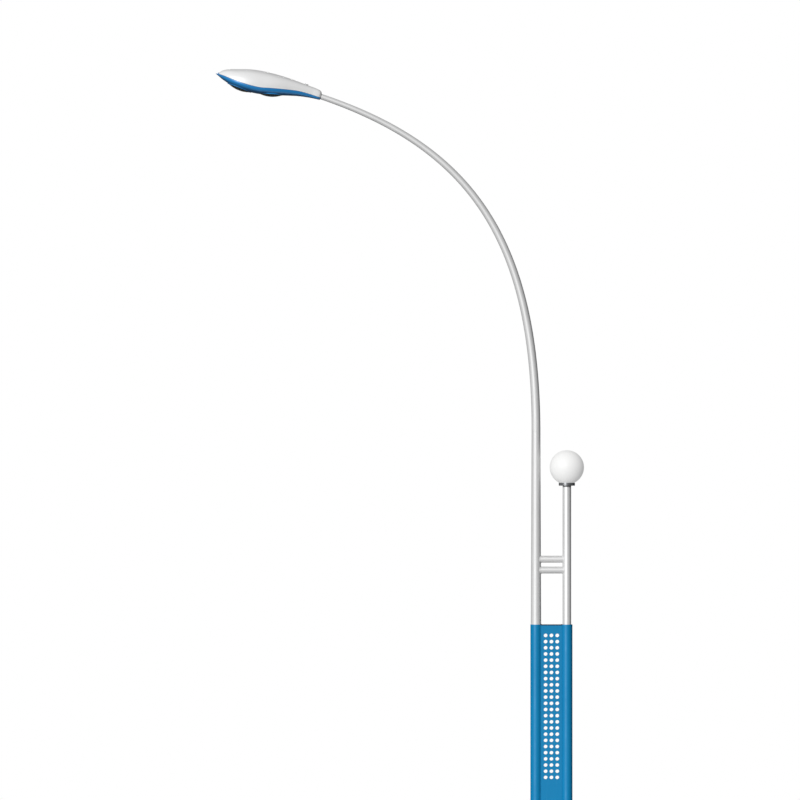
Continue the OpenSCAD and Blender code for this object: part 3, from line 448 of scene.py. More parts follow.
RECIPES = (
    (painted, "column_blue", (14, 134, 189), (10, 129, 184), (19, 139, 194), 0.5, 0.03, 0.02, 0.2),
    # The cap plate is real, but its dark navy is painted shade: it stands in for the shadow line along the
    # column's top
    (painted, "cap_navy", (16, 52, 84), (12, 44, 74), (20, 60, 92), 0.5, 0.1),
    (painted, "pole_silver", (235, 235, 235), (231, 231, 231), (239, 239, 239), 0.5, 0.22, 0.03, 0.3),
    (painted, "luminaire_blue", (44, 142, 213), (36, 134, 206), (52, 150, 219), 0.32, 0.08, 0.5),
    (painted, "cover_grey", (251, 251, 251), (249, 249, 249), (253, 253, 253), 0.42, 0.05, 0.12),
    (painted, "collar_grey", (160, 162, 164), (148, 150, 152), (170, 172, 174), 0.36, 0.75),
    (metal, "steel", (0.62, 0.63, 0.64, 1), 0.34),
    (metal, "brass", (0.80, 0.60, 0.30, 1), 0.32),
    (metal, "reflector_bright", (0.86, 0.87, 0.88, 1), 0.16, (1, 1, 1), 260.0),
    (cast, "cast_aluminium", (0.60, 0.61, 0.62, 1)),
    (plastic, "rubber", (0.022, 0.022, 0.023, 1), 0.7),
    (plastic, "cable_sheath", (0.018, 0.018, 0.019, 1), 0.5),
    (plastic, "black_plastic", (0.03, 0.032, 0.035, 1), 0.45),
    (plastic, "white_plastic", (0.78, 0.78, 0.75, 1), 0.4),
    (plastic, "ceramic_white", (0.82, 0.80, 0.76, 1), 0.22, 300.0, 0.00008, 0.7),
    (plastic, "board_white", (0.74, 0.80, 0.72, 1), 0.4),
    (opal, "opal_globe", (202, 202, 201), (191, 190, 186), 0.5, 0.4),
    (opal, "bulb_glass", (240, 237, 226), (222, 219, 209), 0.3, 0.05),
    (glass, "lens_glass", (150, 168, 158)),
)
finishes = {name: make(name, *values) for make, name, *values in RECIPES}
for part in frame["record"]["subparts"]:
    node = frame["nodes"][part["node"]]
    node.data.materials.clear()
    node.data.materials.append(finishes[part["material_slot"]])

# ---------------------------------------------------------------- camera, light and floor

VIEW_X, VIEW_Z = -1.325, 5.101     # the middle of the view
VIEW_WIDTH = 7.0                   # metres across the picture
LENS, SENSOR = 300.0, 36.0

camera_data = bpy.data.cameras.new("camera")
camera_data.lens = LENS
camera_data.sensor_width = SENSOR
camera_data.clip_end = 400.0
camera = bpy.data.objects.new("camera", camera_data)
camera.location = (VIEW_X, -VIEW_WIDTH * LENS / SENSOR, VIEW_Z)
camera.rotation_euler = (pi / 2, 0, 0)
scene.collection.objects.link(camera)
scene.camera = camera


def sun(name, toward, strength, width, glossy=True):
    """A distant light that shines from a direction; without gloss it leaves no glare on edges."""
    data = bpy.data.lights.new(name, "SUN")
    data.energy = strength
    data.angle = radians(width)
    lamp = bpy.data.objects.new(name, data)
    lamp.rotation_euler = Vector(toward).to_track_quat("Z", "Y").to_euler()
    lamp.visible_glossy = glossy
    scene.collection.objects.link(lamp)


sun("key", (-0.40, -0.86, 0.30), 2.85, 12)
sun("top", (0.12, -0.05, 0.99), 0.4, 30, glossy=False)
sun("back", (0.05, 0.86, 0.34), 1.5, 20, glossy=False)

world = bpy.data.worlds.new("studio")
scene.world = world
world.use_nodes = True
tree = world.node_tree
tree.nodes.clear()
sky = tree.nodes.new("ShaderNodeBackground")
page = tree.nodes.new("ShaderNodeBackground")
sky.inputs["Color"].default_value = (0.96, 0.98, 1.0, 1)
sky.inputs["Strength"].default_value = 0.05
page.inputs["Color"].default_value = (1, 1, 1, 1)
page.inputs["Strength"].default_value = 1.0
rays = tree.nodes.new("ShaderNodeLightPath")
blend = tree.nodes.new("ShaderNodeMixShader")
end = tree.nodes.new("ShaderNodeOutputWorld")
tree.links.new(rays.outputs["Is Camera Ray"], blend.inputs["Fac"])
tree.links.new(sky.outputs[0], blend.inputs[1])
tree.links.new(page.outputs[0], blend.inputs[2])
tree.links.new(blend.outputs[0], end.inputs["Surface"])
scene.view_settings.view_transform = "Standard"

bm = bmesh.new()
FLOOR_R = 3.2
turned(bm, [(0, -0.002), (FLOOR_R, -0.002), (FLOOR_R, -0.012), (0, -0.012)], shift(VIEW_X, 0, 0))
floor = add("floor", bm)
floor_finish = Finish("floor", 0.7)
floor_finish.colour(floor_finish.ramp(floor_finish.noise(3.0, 6.0), (0.3, tone(243, 243, 242)),
    (0.7, tone(247, 247, 246))))
floor_finish.bump(floor_finish.noise(300.0, 3.0), 0.0004, 0.3)
floor.data.materials.append(floor_finish.material)

# ---------------------------------------------------------------- column

sleeve_low, sleeve_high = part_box("sleeve_left")
TUBE_R = (sleeve_high.y - sleeve_low.y) / 2
TUBE_X = -middle("sleeve_left").x
TUBE_WALL = 3.5 * MM
FOOT_Z, COLUMN_TOP = sleeve_low.z, sleeve_high.z
SHEET_OUT = -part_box("web_front")[0].y
SHEET_IN = -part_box("web_front")[1].y


def tube_profile(outer, inner, low, high, lip=0.6 * MM):
    """A tube's section with small rounded lips at both ends."""
    return [(outer, low + lip), (outer, high - lip), (outer - 0.3 * lip, high - 0.3 * lip),
        (outer - lip, high), (inner + lip, high), (inner, high - lip), (inner, low + lip),
        (inner + lip, low), (outer - lip, low)]


GROMMET = middle("cable_grommets")
SCREW_LOW, SCREW_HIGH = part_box("sleeve_screws")
SCREW_R, GROMMET_R = 5 * MM, 12 * MM
CUTTER_L = 0.1                     # long enough to pass right through one wall
SCREW_HEAD = 8.5 * sin(pi / 3) * MM


def column_tube(name, side, node):
    bm = bmesh.new()
    turned(bm, tube_profile(TUBE_R, TUBE_R - TUBE_WALL, FOOT_Z, COLUMN_TOP), shift(side * TUBE_X, 0, 0))
    piece = add(name, bm)
    cutters = bmesh.new()
    turn = spin(-side * pi / 2, "Y")
    turned(cutters, [(0, 0), (GROMMET_R, 0), (GROMMET_R, CUTTER_L), (0, CUTTER_L)],
        shift(side * TUBE_X, GROMMET.y, GROMMET.z) @ turn, 48)
    for z in (SCREW_LOW.z + SCREW_HEAD, SCREW_HIGH.z - SCREW_HEAD):
        turned(cutters, [(0, 0), (SCREW_R, 0), (SCREW_R, CUTTER_L), (0, CUTTER_L)],
            shift(side * TUBE_X, 0, z) @ spin(-pi / 2, "X"), 32)
    cut(piece, cutters)
    settle(piece, "post", "column_blue", node)


column_tube("column_tube_left", -1, "sleeve_left")
column_tube("column_tube_right", 1, "sleeve_right")

HOLE_R = 16.5 * MM
ROW_PITCH, COLUMN_PITCH = 54 * MM, 51 * MM
ROWS, COLUMNS = 24, 3
FIRST_ROW = 96 * MM
DOOR_W, DOOR_H, DOOR_Z = 136 * MM, 520 * MM, middle("access_door").z


def sheet_half(y):
    """Half width at which a sheet meets the tubes, at a distance in front of their axes."""
    return TUBE_X - sqrt((TUBE_R + 0.2 * MM) ** 2 - y * y)


def facing(side):
    """A frame whose local Z points out of the column, with local Y up; side 1 is the front."""
    return Matrix(((side, 0, 0, 0), (0, 0, -side, 0), (0, 1, 0, 0), (0, 0, 0, 1)))


def perforated_sheet(name, side, node, door):
    """A sheet with rows of round holes; its local Z points out of the column."""
    place = facing(side)
    half = sheet_half(SHEET_IN) + 0.2 * MM
    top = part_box(node)[1].z
    holes = [circle((c - 1) * COLUMN_PITCH, COLUMN_TOP - FIRST_ROW - r * ROW_PITCH, HOLE_R, 40)
        for r in range(ROWS) for c in range(COLUMNS)]
    if door:
        holes.append(rectangle(-DOOR_W / 2, DOOR_Z - DOOR_H / 2, DOOR_W / 2, DOOR_Z + DOOR_H / 2, 3 * MM))
    bm = bmesh.new()
    plate(bm, rectangle(-half, FOOT_Z, half, top, 0), holes, SHEET_IN, SHEET_OUT, 0.7 * MM, place)
    put(name, bm, "column_blue", node, sharp=FLAT)


perforated_sheet("sheet_front", 1, "web_front", True)
perforated_sheet("sheet_rear", -1, "web_rear", False)

WELD_STEPS = 420
bead_y = SHEET_OUT + 0.4 * MM
length = COLUMN_TOP - FOOT_Z - 12 * MM
bm = bmesh.new()
for x in (-1, 1):
    for y in (-1, 1):
        bead_x = x * (sheet_half(bead_y) + 0.3 * MM)
        bead(bm, [Vector((bead_x, y * bead_y, FOOT_Z + 6 * MM + length * k / WELD_STEPS))
            for k in range(WELD_STEPS + 1)], 2.6 * MM, ripple=0.1, sides=8)
put("column_welds", bm, "column_blue")

# ---------------------------------------------------------------- base

base_low, base_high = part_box("base_plate")
ANCHOR_X, ANCHOR_Y, ANCHOR_R, ENTRY_R = 200 * MM, 130 * MM, 13.5 * MM, 20 * MM
bm = bmesh.new()
plate(bm, rectangle(base_low.x, base_low.y, base_high.x, base_high.y, 10 * MM),
    [circle(x * ANCHOR_X, y * ANCHOR_Y, ANCHOR_R, 64) for x in (-1, 1) for y in (-1, 1)]
    + [circle(0, 0, ENTRY_R, 64)], base_low.z, base_high.z, 1.5 * MM)
put("foot_plate", bm, "column_blue", "base_plate")

RIB_T, RIB_L, RIB_H, RIB_TOE = 8 * MM, 60 * MM, 150 * MM, 12 * MM
ribs = bmesh.new()
welds = bmesh.new()
for side in (-1, 1):
    centre = Vector((side * TUBE_X, 0, 0))
    for angle in (90, 270, 0 if side > 0 else 180):
        out = shift(*centre) @ spin(radians(angle), "Z")
        stand = out @ shift(TUBE_R + 0.2 * MM, 0, FOOT_Z) @ spin(pi / 2, "X")
        outline = rounded([(0, 0), (RIB_L, 0), (RIB_L, RIB_TOE), (RIB_TOE, RIB_H), (0, RIB_H)], 3 * MM)
        plate(ribs, outline, [], -RIB_T / 2, RIB_T / 2, 0.8 * MM, stand)
        for flank in (-1, 1):
            y = flank * (RIB_T / 2 + 0.8 * MM)
            foot = [out @ Vector((TUBE_R + 4 * MM + RIB_L * 0.92 * k / 24, y, FOOT_Z + 0.8 * MM))
                for k in range(25)]
            rise = [out @ Vector((sqrt(TUBE_R ** 2 - y * y) + 0.8 * MM, y, FOOT_Z + 5 * MM
                + RIB_H * 0.93 * k / 50)) for k in range(51)]
            bead(welds, foot, 3.2 * MM, sides=8)
            bead(welds, rise, 3.2 * MM, sides=8)
    weld_r = TUBE_R + 1.2 * MM
    bead(welds, [centre + Vector((weld_r * cos(a), weld_r * sin(a), FOOT_Z + 1.2 * MM))
        for a in angles(120)], 3.4 * MM, closed=True, sides=8)
put("foot_ribs", ribs, "column_blue", "base_gussets")
put("foot_welds", welds, "column_blue")

# ---------------------------------------------------------------- poles

shaft_low, shaft_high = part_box("main_shaft")
SHAFT_R = span("main_shaft").x / 2
BEND_Z = shaft_high.z
POLE_WALL = 3.5 * MM
ARM_TIP_R = 24 * MM
ARM_REACH, ARM_RISE, ARM_SLOPE = 1.870, 2.927, radians(18.8)
arm_start = Vector((-TUBE_X, 0, BEND_Z))
arm_end = arm_start + Vector((-ARM_REACH, 0, ARM_RISE))
arm_dir = Vector((-cos(ARM_SLOPE), 0, sin(ARM_SLOPE)))
UPRIGHT, LEVEL = 0.584, 0.717      # shares of the rise and the reach that bend the arm
arm_handles = (arm_start + Vector((0, 0, ARM_RISE * UPRIGHT)), arm_end - arm_dir * ARM_REACH * LEVEL)
ARM_SOCKET = 0.140


def arm_at(t):
    a, b, c, d = arm_start, arm_handles[0], arm_handles[1], arm_end
    return a * (1 - t) ** 3 + b * 3 * t * (1 - t) ** 2 + c * 3 * t * t * (1 - t) + d * t ** 3


def arm_along(t):
    a, b, c, d = arm_start, arm_handles[0], arm_handles[1], arm_end
    return ((b - a) * (1 - t) ** 2 + (c - b) * 2 * t * (1 - t) + (d - c) * t * t).normalized()


ARM_STEPS = 150
ARM_LENGTH = sum((arm_at((k + 1) / ARM_STEPS) - arm_at(k / ARM_STEPS)).length for k in range(ARM_STEPS))
TAPER = (SHAFT_R - ARM_TIP_R) / (BEND_Z - COLUMN_TOP + ARM_LENGTH)
BEND_R = SHAFT_R - TAPER * (BEND_Z - COLUMN_TOP)


def ring_about(p, along, radius, steps=72):
    side = Vector((along.z, 0, -along.x))
    return [p + side * radius * cos(a) + Vector((0, 1, 0)) * radius * sin(a) for a in angles(steps)]


lip = 0.5 * MM
bm = bmesh.new()
turned(bm, [(SHAFT_R, shaft_low.z + lip), (SHAFT_R, COLUMN_TOP), (BEND_R + TAPER * lip, BEND_Z - lip),
    (BEND_R - lip, BEND_Z - 0.1 * MM), (BEND_R - POLE_WALL, BEND_Z - 0.1 * MM),
    (SHAFT_R - POLE_WALL, COLUMN_TOP), (SHAFT_R - POLE_WALL, shaft_low.z), (SHAFT_R - lip, shaft_low.z)],
    shift(-TUBE_X, 0, 0))
put("tall_shaft", bm, "pole_silver", "main_shaft")

stations = [(arm_at(k / ARM_STEPS), arm_along(k / ARM_STEPS), BEND_R - (BEND_R - ARM_TIP_R) * k / ARM_STEPS)
    for k in range(ARM_STEPS + 1)] + [(arm_end + arm_dir * ARM_SOCKET, arm_dir, ARM_TIP_R)]
outer = [ring_about(p + d * (0.1 * MM if k == 0 else 0), d, r - (lip if k == 0 else 0)) for k,
    (p, d, r) in enumerate(stations)]
outer.insert(1, ring_about(arm_start + Vector((0, 0, lip)), Vector((0, 0, 1)), BEND_R))
inner = [ring_about(p, d, r - POLE_WALL) for p, d, r in reversed(stations)]
bm = bmesh.new()
loft(bm, outer + inner, looped=True)
put("bent_arm", bm, "pole_silver", "curved_arm")

post_low, post_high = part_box("side_post")
POST_R = span("side_post").y / 2
bm = bmesh.new()
turned(bm, tube_profile(POST_R, POST_R - POLE_WALL, post_low.z, post_high.z), shift(TUBE_X, 0, 0))
put("short_post", bm, "pole_silver", "side_post")

BAR_WALL = 3 * MM
for name, node in (("tie_bar_lower", "crossbar_lower"), ("tie_bar_upper", "crossbar_upper")):
    bar_r = span(node).z / 2
    z = middle(node).z
    shaft_r = SHAFT_R - TAPER * (z - COLUMN_TOP)

    def saddle(radius, angle, gap):
        """Where a line along the bar meets the shaft and the post."""
        y = radius * sin(angle)
        at_shaft = -TUBE_X + sqrt((shaft_r - TAPER * radius * cos(angle) + gap) ** 2 - y * y)
        at_post = TUBE_X - sqrt((POST_R + gap) ** 2 - y * y)
        return at_shaft, at_post, Vector((0, y, z + radius * cos(angle)))

    rings = [[], [], [], []]
    seams = [[], []]
    for k in range(72):
        angle = 2 * pi * k / 72
        a, b, p = saddle(bar_r, angle, 0.2 * MM)
        rings[0].append(p + Vector((a, 0, 0)))
        rings[1].append(p + Vector((b, 0, 0)))
        seam = saddle(bar_r + 0.9 * MM, angle, 1.4 * MM)
        seams[0].append(seam[2] + Vector((seam[0], 0, 0)))
        seams[1].append(seam[2] + Vector((seam[1], 0, 0)))
        a, b, p = saddle(bar_r - BAR_WALL, angle, 0.2 * MM)
        rings[2].append(p + Vector((b, 0, 0)))
        rings[3].append(p + Vector((a, 0, 0)))
    bm = bmesh.new()
    loft(bm, rings, looped=True)
    put(name, bm, "pole_silver", node)
    bm = bmesh.new()
    for seam in seams:
        bead(bm, seam, 2.4 * MM, closed=True, ripple=0.08)
    put(name + "_welds", bm, "pole_silver")

# ---------------------------------------------------------------- globe lamp

globe_low, globe_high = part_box("globe")
GLOBE_R = span("globe").x / 2
GLOBE_Z = globe_high.z - GLOBE_R
GLOBE_WALL = 3 * MM
NECK_R = 65 * MM
lamp_axis = shift(TUBE_X, 0, 0)


def ball(radius, start, count):
    """Points of a sphere's profile from a start angle below its equator up to its top."""
    return [(radius * cos(start + (pi / 2 - start) * k / count), GLOBE_Z
        + radius * sin(start + (pi / 2 - start) * k / count)) for k in range(count)] + [(0, GLOBE_Z
        + radius)]


outer_start = -acos((NECK_R + 1.5 * MM) / GLOBE_R)
inner_start = -acos((NECK_R - GLOBE_WALL) / (GLOBE_R - GLOBE_WALL))
profile = ball(GLOBE_R - GLOBE_WALL, inner_start, 60)[::-1]
profile += [(NECK_R - GLOBE_WALL, globe_low.z + 0.6 * MM), (NECK_R - GLOBE_WALL + 0.6 * MM, globe_low.z)]
profile += [(NECK_R - 0.6 * MM, globe_low.z), (NECK_R, globe_low.z + 0.6 * MM)] + ball(GLOBE_R, outer_start,
    60)
bm = bmesh.new()
turned(bm, profile, lamp_axis, 128)
put("opal_ball", bm, "opal_globe", "globe")

fitter_low, fitter_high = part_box("globe_fitter")
COLLAR_R = span("globe_fitter").x / 2
COLLAR_WALL, COLLAR_FLOOR = 3.5 * MM, 5 * MM
SPIGOT_R = POST_R - POLE_WALL - 0.2 * MM
CABLE_BORE_R = 14 * MM
collar_z = post_high.z
rim = fitter_high.z
bm = bmesh.new()
turned(bm, [(SPIGOT_R, fitter_low.z), (SPIGOT_R, collar_z - 0.1 * MM), (COLLAR_R - 3 * MM, collar_z),
    (COLLAR_R - 1.2 * MM, collar_z + 0.6 * MM), (COLLAR_R, collar_z + 2.4 * MM), (COLLAR_R, rim - 3.5 * MM),
    (COLLAR_R - 0.4 * MM, rim - 3.1 * MM), (COLLAR_R - 0.4 * MM, rim - 1.2 * MM),
    (COLLAR_R - 0.9 * MM, rim - 0.3 * MM), (COLLAR_R - 1.75 * MM, rim),
    (COLLAR_R - 2.7 * MM, rim - 0.3 * MM), (COLLAR_R - COLLAR_WALL, rim - 1.2 * MM),
    (COLLAR_R - COLLAR_WALL, collar_z + COLLAR_FLOOR), (CABLE_BORE_R, collar_z + COLLAR_FLOOR),
    (CABLE_BORE_R, collar_z), (SPIGOT_R - 5 * MM, collar_z - 1 * MM), (SPIGOT_R - 5 * MM, fitter_low.z)],
    lamp_axis, 128)
collar = add("globe_collar", bm)
cutters = bmesh.new()
GRUB_R, GRUB_ANGLES = 3 * MM, (30, 150, 270)
grub_z = middle("globe_screws").z
for angle in GRUB_ANGLES:
    turned(cutters, [(0, 0.05), (GRUB_R, 0.05), (GRUB_R, CUTTER_L), (0, CUTTER_L)], shift(TUBE_X, 0, grub_z)
        @ spin(radians(angle), "Z") @ spin(pi / 2, "Y"), 24)
cut(collar, cutters)
settle(collar, "post", "collar_grey", "globe_fitter")

# ---------------------------------------------------------------- luminaire

at_luminaire = shift(*arm_end) @ spin(pi, "Z") @ spin(-ARM_SLOPE, "Y")

# Outlines along the luminaire in millimetres: u from the arm's end to the tip, heights and half width
COVER_LINE = [(14, 27.5), (24, 42), (38, 49.5), (70, 54), (150, 57), (330, 62), (500, 54.5), (650, 32.5),
    (780, -8), (870, -42), (948, -96)]
SEAM_LINE = [(14, -12), (150, -15), (250, -28), (450, -77), (530, -99), (620, -110), (720, -113),
    (800, -110), (870, -104), (900, -103), (948, -103)]
KEEL_LINE = [(14, -31), (100, -41), (200, -60), (320, -94), (440, -128), (560, -156), (680, -163),
    (790, -156), (870, -137), (925, -116), (948, -106)]
HALF_LINE = [(14, 31), (30, 43), (100, 54), (250, 92), (400, 134), (520, 155), (650, 164), (750, 151),
    (850, 110), (910, 62), (948, 8)]
COVER_N, TRAY_N = 2.4, 3.0
SEAM_GAP = 0.5
COVER_WALL, TRAY_WALL = 2.5, 3.0
REAR_U, COVER_FRONT, FRONT_ROUND, TIP_U = 14, 922, 25, 948
NOSE_U, NOSE_LENGTH = 890, 28


def smooth(line, u):
    """A smooth height through listed points, as a cubic through each pair."""
    def slope(i):
        a, b = max(0, i - 1), min(len(line) - 1, i + 1)
        return (line[b][1] - line[a][1]) / (line[b][0] - line[a][0])
    i = 0
    while i < len(line) - 2 and u >= line[i + 1][0]:
        i += 1
    d = line[i + 1][0] - line[i][0]
    t = (u - line[i][0]) / d
    return (line[i][1] * (1 + 2 * t) * (1 - t) ** 2 + slope(i) * d * t * (1 - t) ** 2
        + line[i + 1][1] * t * t * (3 - 2 * t) + slope(i + 1) * d * t * t * (t - 1))


def seam_at(u):
    return smooth(SEAM_LINE, u)


def half_at(u):
    return smooth(HALF_LINE, u)


def keel_at(u):
    return smooth(KEEL_LINE, u)


def cover_at(u):
    into = (u - COVER_FRONT + FRONT_ROUND) / FRONT_ROUND
    factor = 1 if into <= 0 else max(0.06, sqrt(max(0, 1 - into * into)))
    return seam_at(u) + (smooth(COVER_LINE, u) - seam_at(u)) * factor


def section(u, half, start, rise, n, steps):
    """Points across one section of the casing, from one side over to the other."""
    row = []
    for j in range(steps + 1):
        a = pi * j / steps
        side = (1 if cos(a) > 0 else -1) * abs(cos(a)) ** (2 / n)
        row.append(at_luminaire @ (Vector((u, half * side, start + rise * max(0, sin(a)) ** (2 / n))) * MM))
    return row


def shell(bm, outer, inner):
    """A thin shell between two grids of points, closed along its rims."""
    a = [[bm.verts.new(p) for p in row] for row in outer]
    b = [[bm.verts.new(p) for p in row] for row in inner]
    for grid in (a, b):
        for r0, r1 in zip(grid, grid[1:]):
            for j in range(len(r0) - 1):
                bm.faces.new((r0[j], r0[j + 1], r1[j + 1], r1[j]))
    for i in range(len(a) - 1):
        for j in (0, -1):
            bm.faces.new((a[i][j], a[i + 1][j], b[i + 1][j], b[i][j]))
    for j in range(len(a[0]) - 1):
        for i in (0, -1):
            bm.faces.new((a[i][j], a[i][j + 1], b[i][j + 1], b[i][j]))


ACROSS = 56                        # faces across a section
cover_stations = [REAR_U + 3 * k for k in range(8)] + [REAR_U + 24 + 9 * k for k in range(96)]
cover_stations = [u for u in cover_stations if u < COVER_FRONT - FRONT_ROUND]
cover_stations += [COVER_FRONT - FRONT_ROUND + FRONT_ROUND * sin(pi / 2 * k / 10) for k in range(11)]
COVER_TRIM = 0.994                 # keeps this finer curve inside the CAD's coarser one
outer = [section(u, half_at(u), seam_at(u) + SEAM_GAP, (cover_at(u) - seam_at(u) - SEAM_GAP) * COVER_TRIM,
    COVER_N, ACROSS) for u in cover_stations]
inner = [section(u, half_at(u) - COVER_WALL, seam_at(u) + SEAM_GAP, max(0.4,
    cover_at(u) - seam_at(u) - SEAM_GAP - COVER_WALL), COVER_N, ACROSS) for u in cover_stations]
bm = bmesh.new()
shell(bm, outer, inner)
cover = add("canopy", bm)
LATCH_U = 165
LATCH_R = 4
HINGE_HALF = 8
cutters = bmesh.new()
turned(cutters, [(0, 0), ((LATCH_R + 0.6) * MM, 0), ((LATCH_R + 0.6) * MM, 0.2), (0, 0.2)], at_luminaire
    @ shift(LATCH_U * MM, 0, 0), 32)
SLOT_START = 905
block(cutters, (SLOT_START * MM, -(HINGE_HALF + 3) * MM, -0.103), ((COVER_FRONT + 2) * MM,
    (HINGE_HALF + 3) * MM, -0.05), 0.4 * MM, at_luminaire)
cut(cover, cutters)
settle(cover, "top_cover", "cover_grey", "top_cover")

LIP_R = 2.6
lip_stations = [REAR_U + 2 + 10 * k for k in range(89)] + [COVER_FRONT - 20, COVER_FRONT - 12,
    COVER_FRONT - 6]
bm = bmesh.new()
for side in (-1, 1):
    path = [at_luminaire @ (Vector((u, side * (half_at(u) - 0.6), seam_at(u) + SEAM_GAP + LIP_R)) * MM)
        for u in lip_stations]
    bead(bm, path, LIP_R * MM, ripple=0, sides=14)
put("canopy_lip", bm, "cover_grey", body="top_cover")

tray_stations = [REAR_U + 9 * k for k in range(97)] + [NOSE_U, 906, 918, 930, 938, 944, TIP_U]


def hollow(u):
    return 1 if u < NOSE_U else max(0, 1 - (u - NOSE_U) / NOSE_LENGTH)


outer, inner = [], []
for u in tray_stations:
    start = seam_at(u) - SEAM_GAP
    outer.append(section(u, half_at(u), start, keel_at(u) - start, TRAY_N, ACROSS))
    f = hollow(u)
    depth = max(0.5, (start - keel_at(u) - TRAY_WALL) * f)
    inner.append(section(u, (half_at(u) - TRAY_WALL) * f + 1 - f, start, -depth, TRAY_N, ACROSS))
bm = bmesh.new()
shell(bm, outer, inner)
housing = add("lower_casing", bm)

FRAME_R = 112.0
FRAME_LOW, FRAME_HIGH = -2.5, 18.0
UNIT_LIFT = 4.0
POCKET_R, LIP_RING_R = 106.5, 102.0
SCREW_X = 109.25
UNIT_US = (712, 434)


def at_unit(u):
    tilt = atan2(keel_at(u + FRAME_R) - keel_at(u - FRAME_R), 2 * FRAME_R)
    return at_luminaire @ shift(u * MM, 0, (keel_at(u) + UNIT_LIFT) * MM) @ spin(-tilt, "Y")


def in_mm(profile):
    return [(r * MM, z * MM) for r, z in profile]


cutters = bmesh.new()
for u in UNIT_US:
    turned(cutters, in_mm([(0, -40), (FRAME_R + 0.4, -40), (FRAME_R + 0.4, 40), (0, 40)]), at_unit(u), 96)
cut(housing, cutters)
settle(housing, "post", "luminaire_blue", "lamp_housing")

bm = bmesh.new()
for u in UNIT_US:
    turned(bm, in_mm([(FRAME_R, FRAME_HIGH), (FRAME_R, FRAME_LOW + 2), (FRAME_R - 0.6, FRAME_LOW + 0.6),
        (FRAME_R - 2, FRAME_LOW), (LIP_RING_R + 1.2, FRAME_LOW), (LIP_RING_R + 0.3, FRAME_LOW + 0.3),
        (LIP_RING_R, FRAME_LOW + 1.2), (LIP_RING_R, 0), (POCKET_R, 0), (POCKET_R, FRAME_HIGH)]), at_unit(u),
        128)
put("lens_rings", bm, "luminaire_blue", "lens_frames")

LENS_CHORD, LENS_SAG, LENS_T = 101.7, 21.0, 4.0
FLANGE_R = 106.2
LENS_BALL = (LENS_CHORD ** 2 + LENS_SAG ** 2) / (2 * LENS_SAG)


def lens_surface(r, lift):
    """Height of the lens's dome at a radius."""
    return LENS_BALL - LENS_SAG - 1 + lift - sqrt(LENS_BALL ** 2 - r * r)


for name, node, u in (("lens_bowl_front", "lens_front", UNIT_US[0]),
        ("lens_bowl_rear", "lens_rear", UNIT_US[1])):
    steps = 90
    inner_r = LENS_CHORD - LENS_T - 2
    profile = [(0, lens_surface(0, 0))]
    profile += [(LENS_CHORD * k / steps, lens_surface(LENS_CHORD * k / steps, 0))
        for k in range(1, steps + 1)]
    profile += [(LENS_CHORD, 0.1), (FLANGE_R - 0.6, 0.1), (FLANGE_R, 0.6), (FLANGE_R, LENS_T - 0.5),
        (FLANGE_R - 0.6, LENS_T)]
    for k in range(steps, 0, -1):
        r = inner_r * k / steps
        prism = 0.35 * sin(k * 2 * pi / 5) if 6 < k < steps - 4 else 0
        profile.append((r, min(lens_surface(r, LENS_T) + prism, LENS_T)))
    profile.append((0, lens_surface(0, LENS_T)))
    bm = bmesh.new()
    turned(bm, in_mm(profile), at_unit(u), 120)
    put(name, bm, "lens_glass", node)

bm = bmesh.new()
for u in UNIT_US:
    for angle in (45, 135, 225, 315):
        head = at_unit(u) @ spin(radians(angle), "Z") @ shift(SCREW_X * MM, 0, FRAME_LOW * MM) @ spin(pi,
            "X")
        turned(bm, in_mm([(0, -9), (1.4, -9), (1.4, 0), (2.6, 0.05), (2.5, 0.9), (2.1, 1.6), (1.5, 1.95),
            (1.25, 1.95), (1.2, 0.9), (0, 0.6)]), head, 24)
put("ring_screws", bm, "steel", "lens_screws")

# ---------------------------------------------------------------- fittings
# From here on, shapes are drawn in millimetres inside a frame that scales them.

MILLI = Matrix.Scale(MM, 4)
FRONT = facing(1) @ MILLI
LAMP = at_luminaire @ MILLI
TO_REAR = spin(-pi / 2, "X")      # turns local Z to +Y
TO_FRONT = spin(pi / 2, "X")      # turns local Z to -Y
ALONG_X = Matrix(((0, 0, 1, 0), (1, 0, 0, 0), (0, 1, 0, 0), (0, 0, 0, 1)))


def at(x, y, z):
    """A frame in millimetres at a point of the column."""
    return MILLI @ shift(x, y, z)


def rod(bm, place, radius, low, high, edge=0.5, steps=48):
    """A solid round bar with rounded ends."""
    turned(bm, [(0, low), (radius - edge, low), (radius - 0.3 * edge, low + 0.3 * edge),
        (radius, low + edge), (radius, high - edge), (radius - 0.3 * edge, high - 0.3 * edge),
        (radius - edge, high), (0, high)], place, steps)


def barrel(bm, place, radius, bore, low, high, edge=0.5):
    """A round sleeve with rounded rims."""
    turned(bm, tube_profile(radius, bore, low, high, edge), place, 64)


def hexagon(bm, place, radius, height):
    """A nut or bolt head with chamfered corners, standing on local Z = 0."""
    loft(bm, [[place @ Vector((radius * share * cos(pi * k / 3), radius * share * sin(pi * k / 3),
        height * z)) for k in range(6)] for share, z in ((0.93, 0), (1, 0.12), (1, 0.88), (0.93, 1))])


def threaded(bm, place, radius, low, high, pitch=1.25):
    """A screw shank with thread rings."""
    profile = [(0, low), (radius * 0.86, low)]
    for k in range(int((high - low) / pitch)):
        z = low + pitch * (k + 0.5)
        profile += [(radius * 0.9, z - pitch * 0.35), (radius, z), (radius * 0.9, z + pitch * 0.35)]
    turned(bm, profile + [(radius * 0.86, high), (0, high)], place, 24)


def level_plate(bm, node, low, high):
    """A plate between the two tubes, with its ends hollowed to fit them."""
    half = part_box(node)[1].y
    ys = [half * (k / 12 - 1) for k in range(25)]
    outline = [Vector((sheet_half(y), y)) for y in ys] + [Vector((-sheet_half(y), y)) for y in reversed(ys)]
    plate(bm, outline, [], low, high, 0.8 * MM)
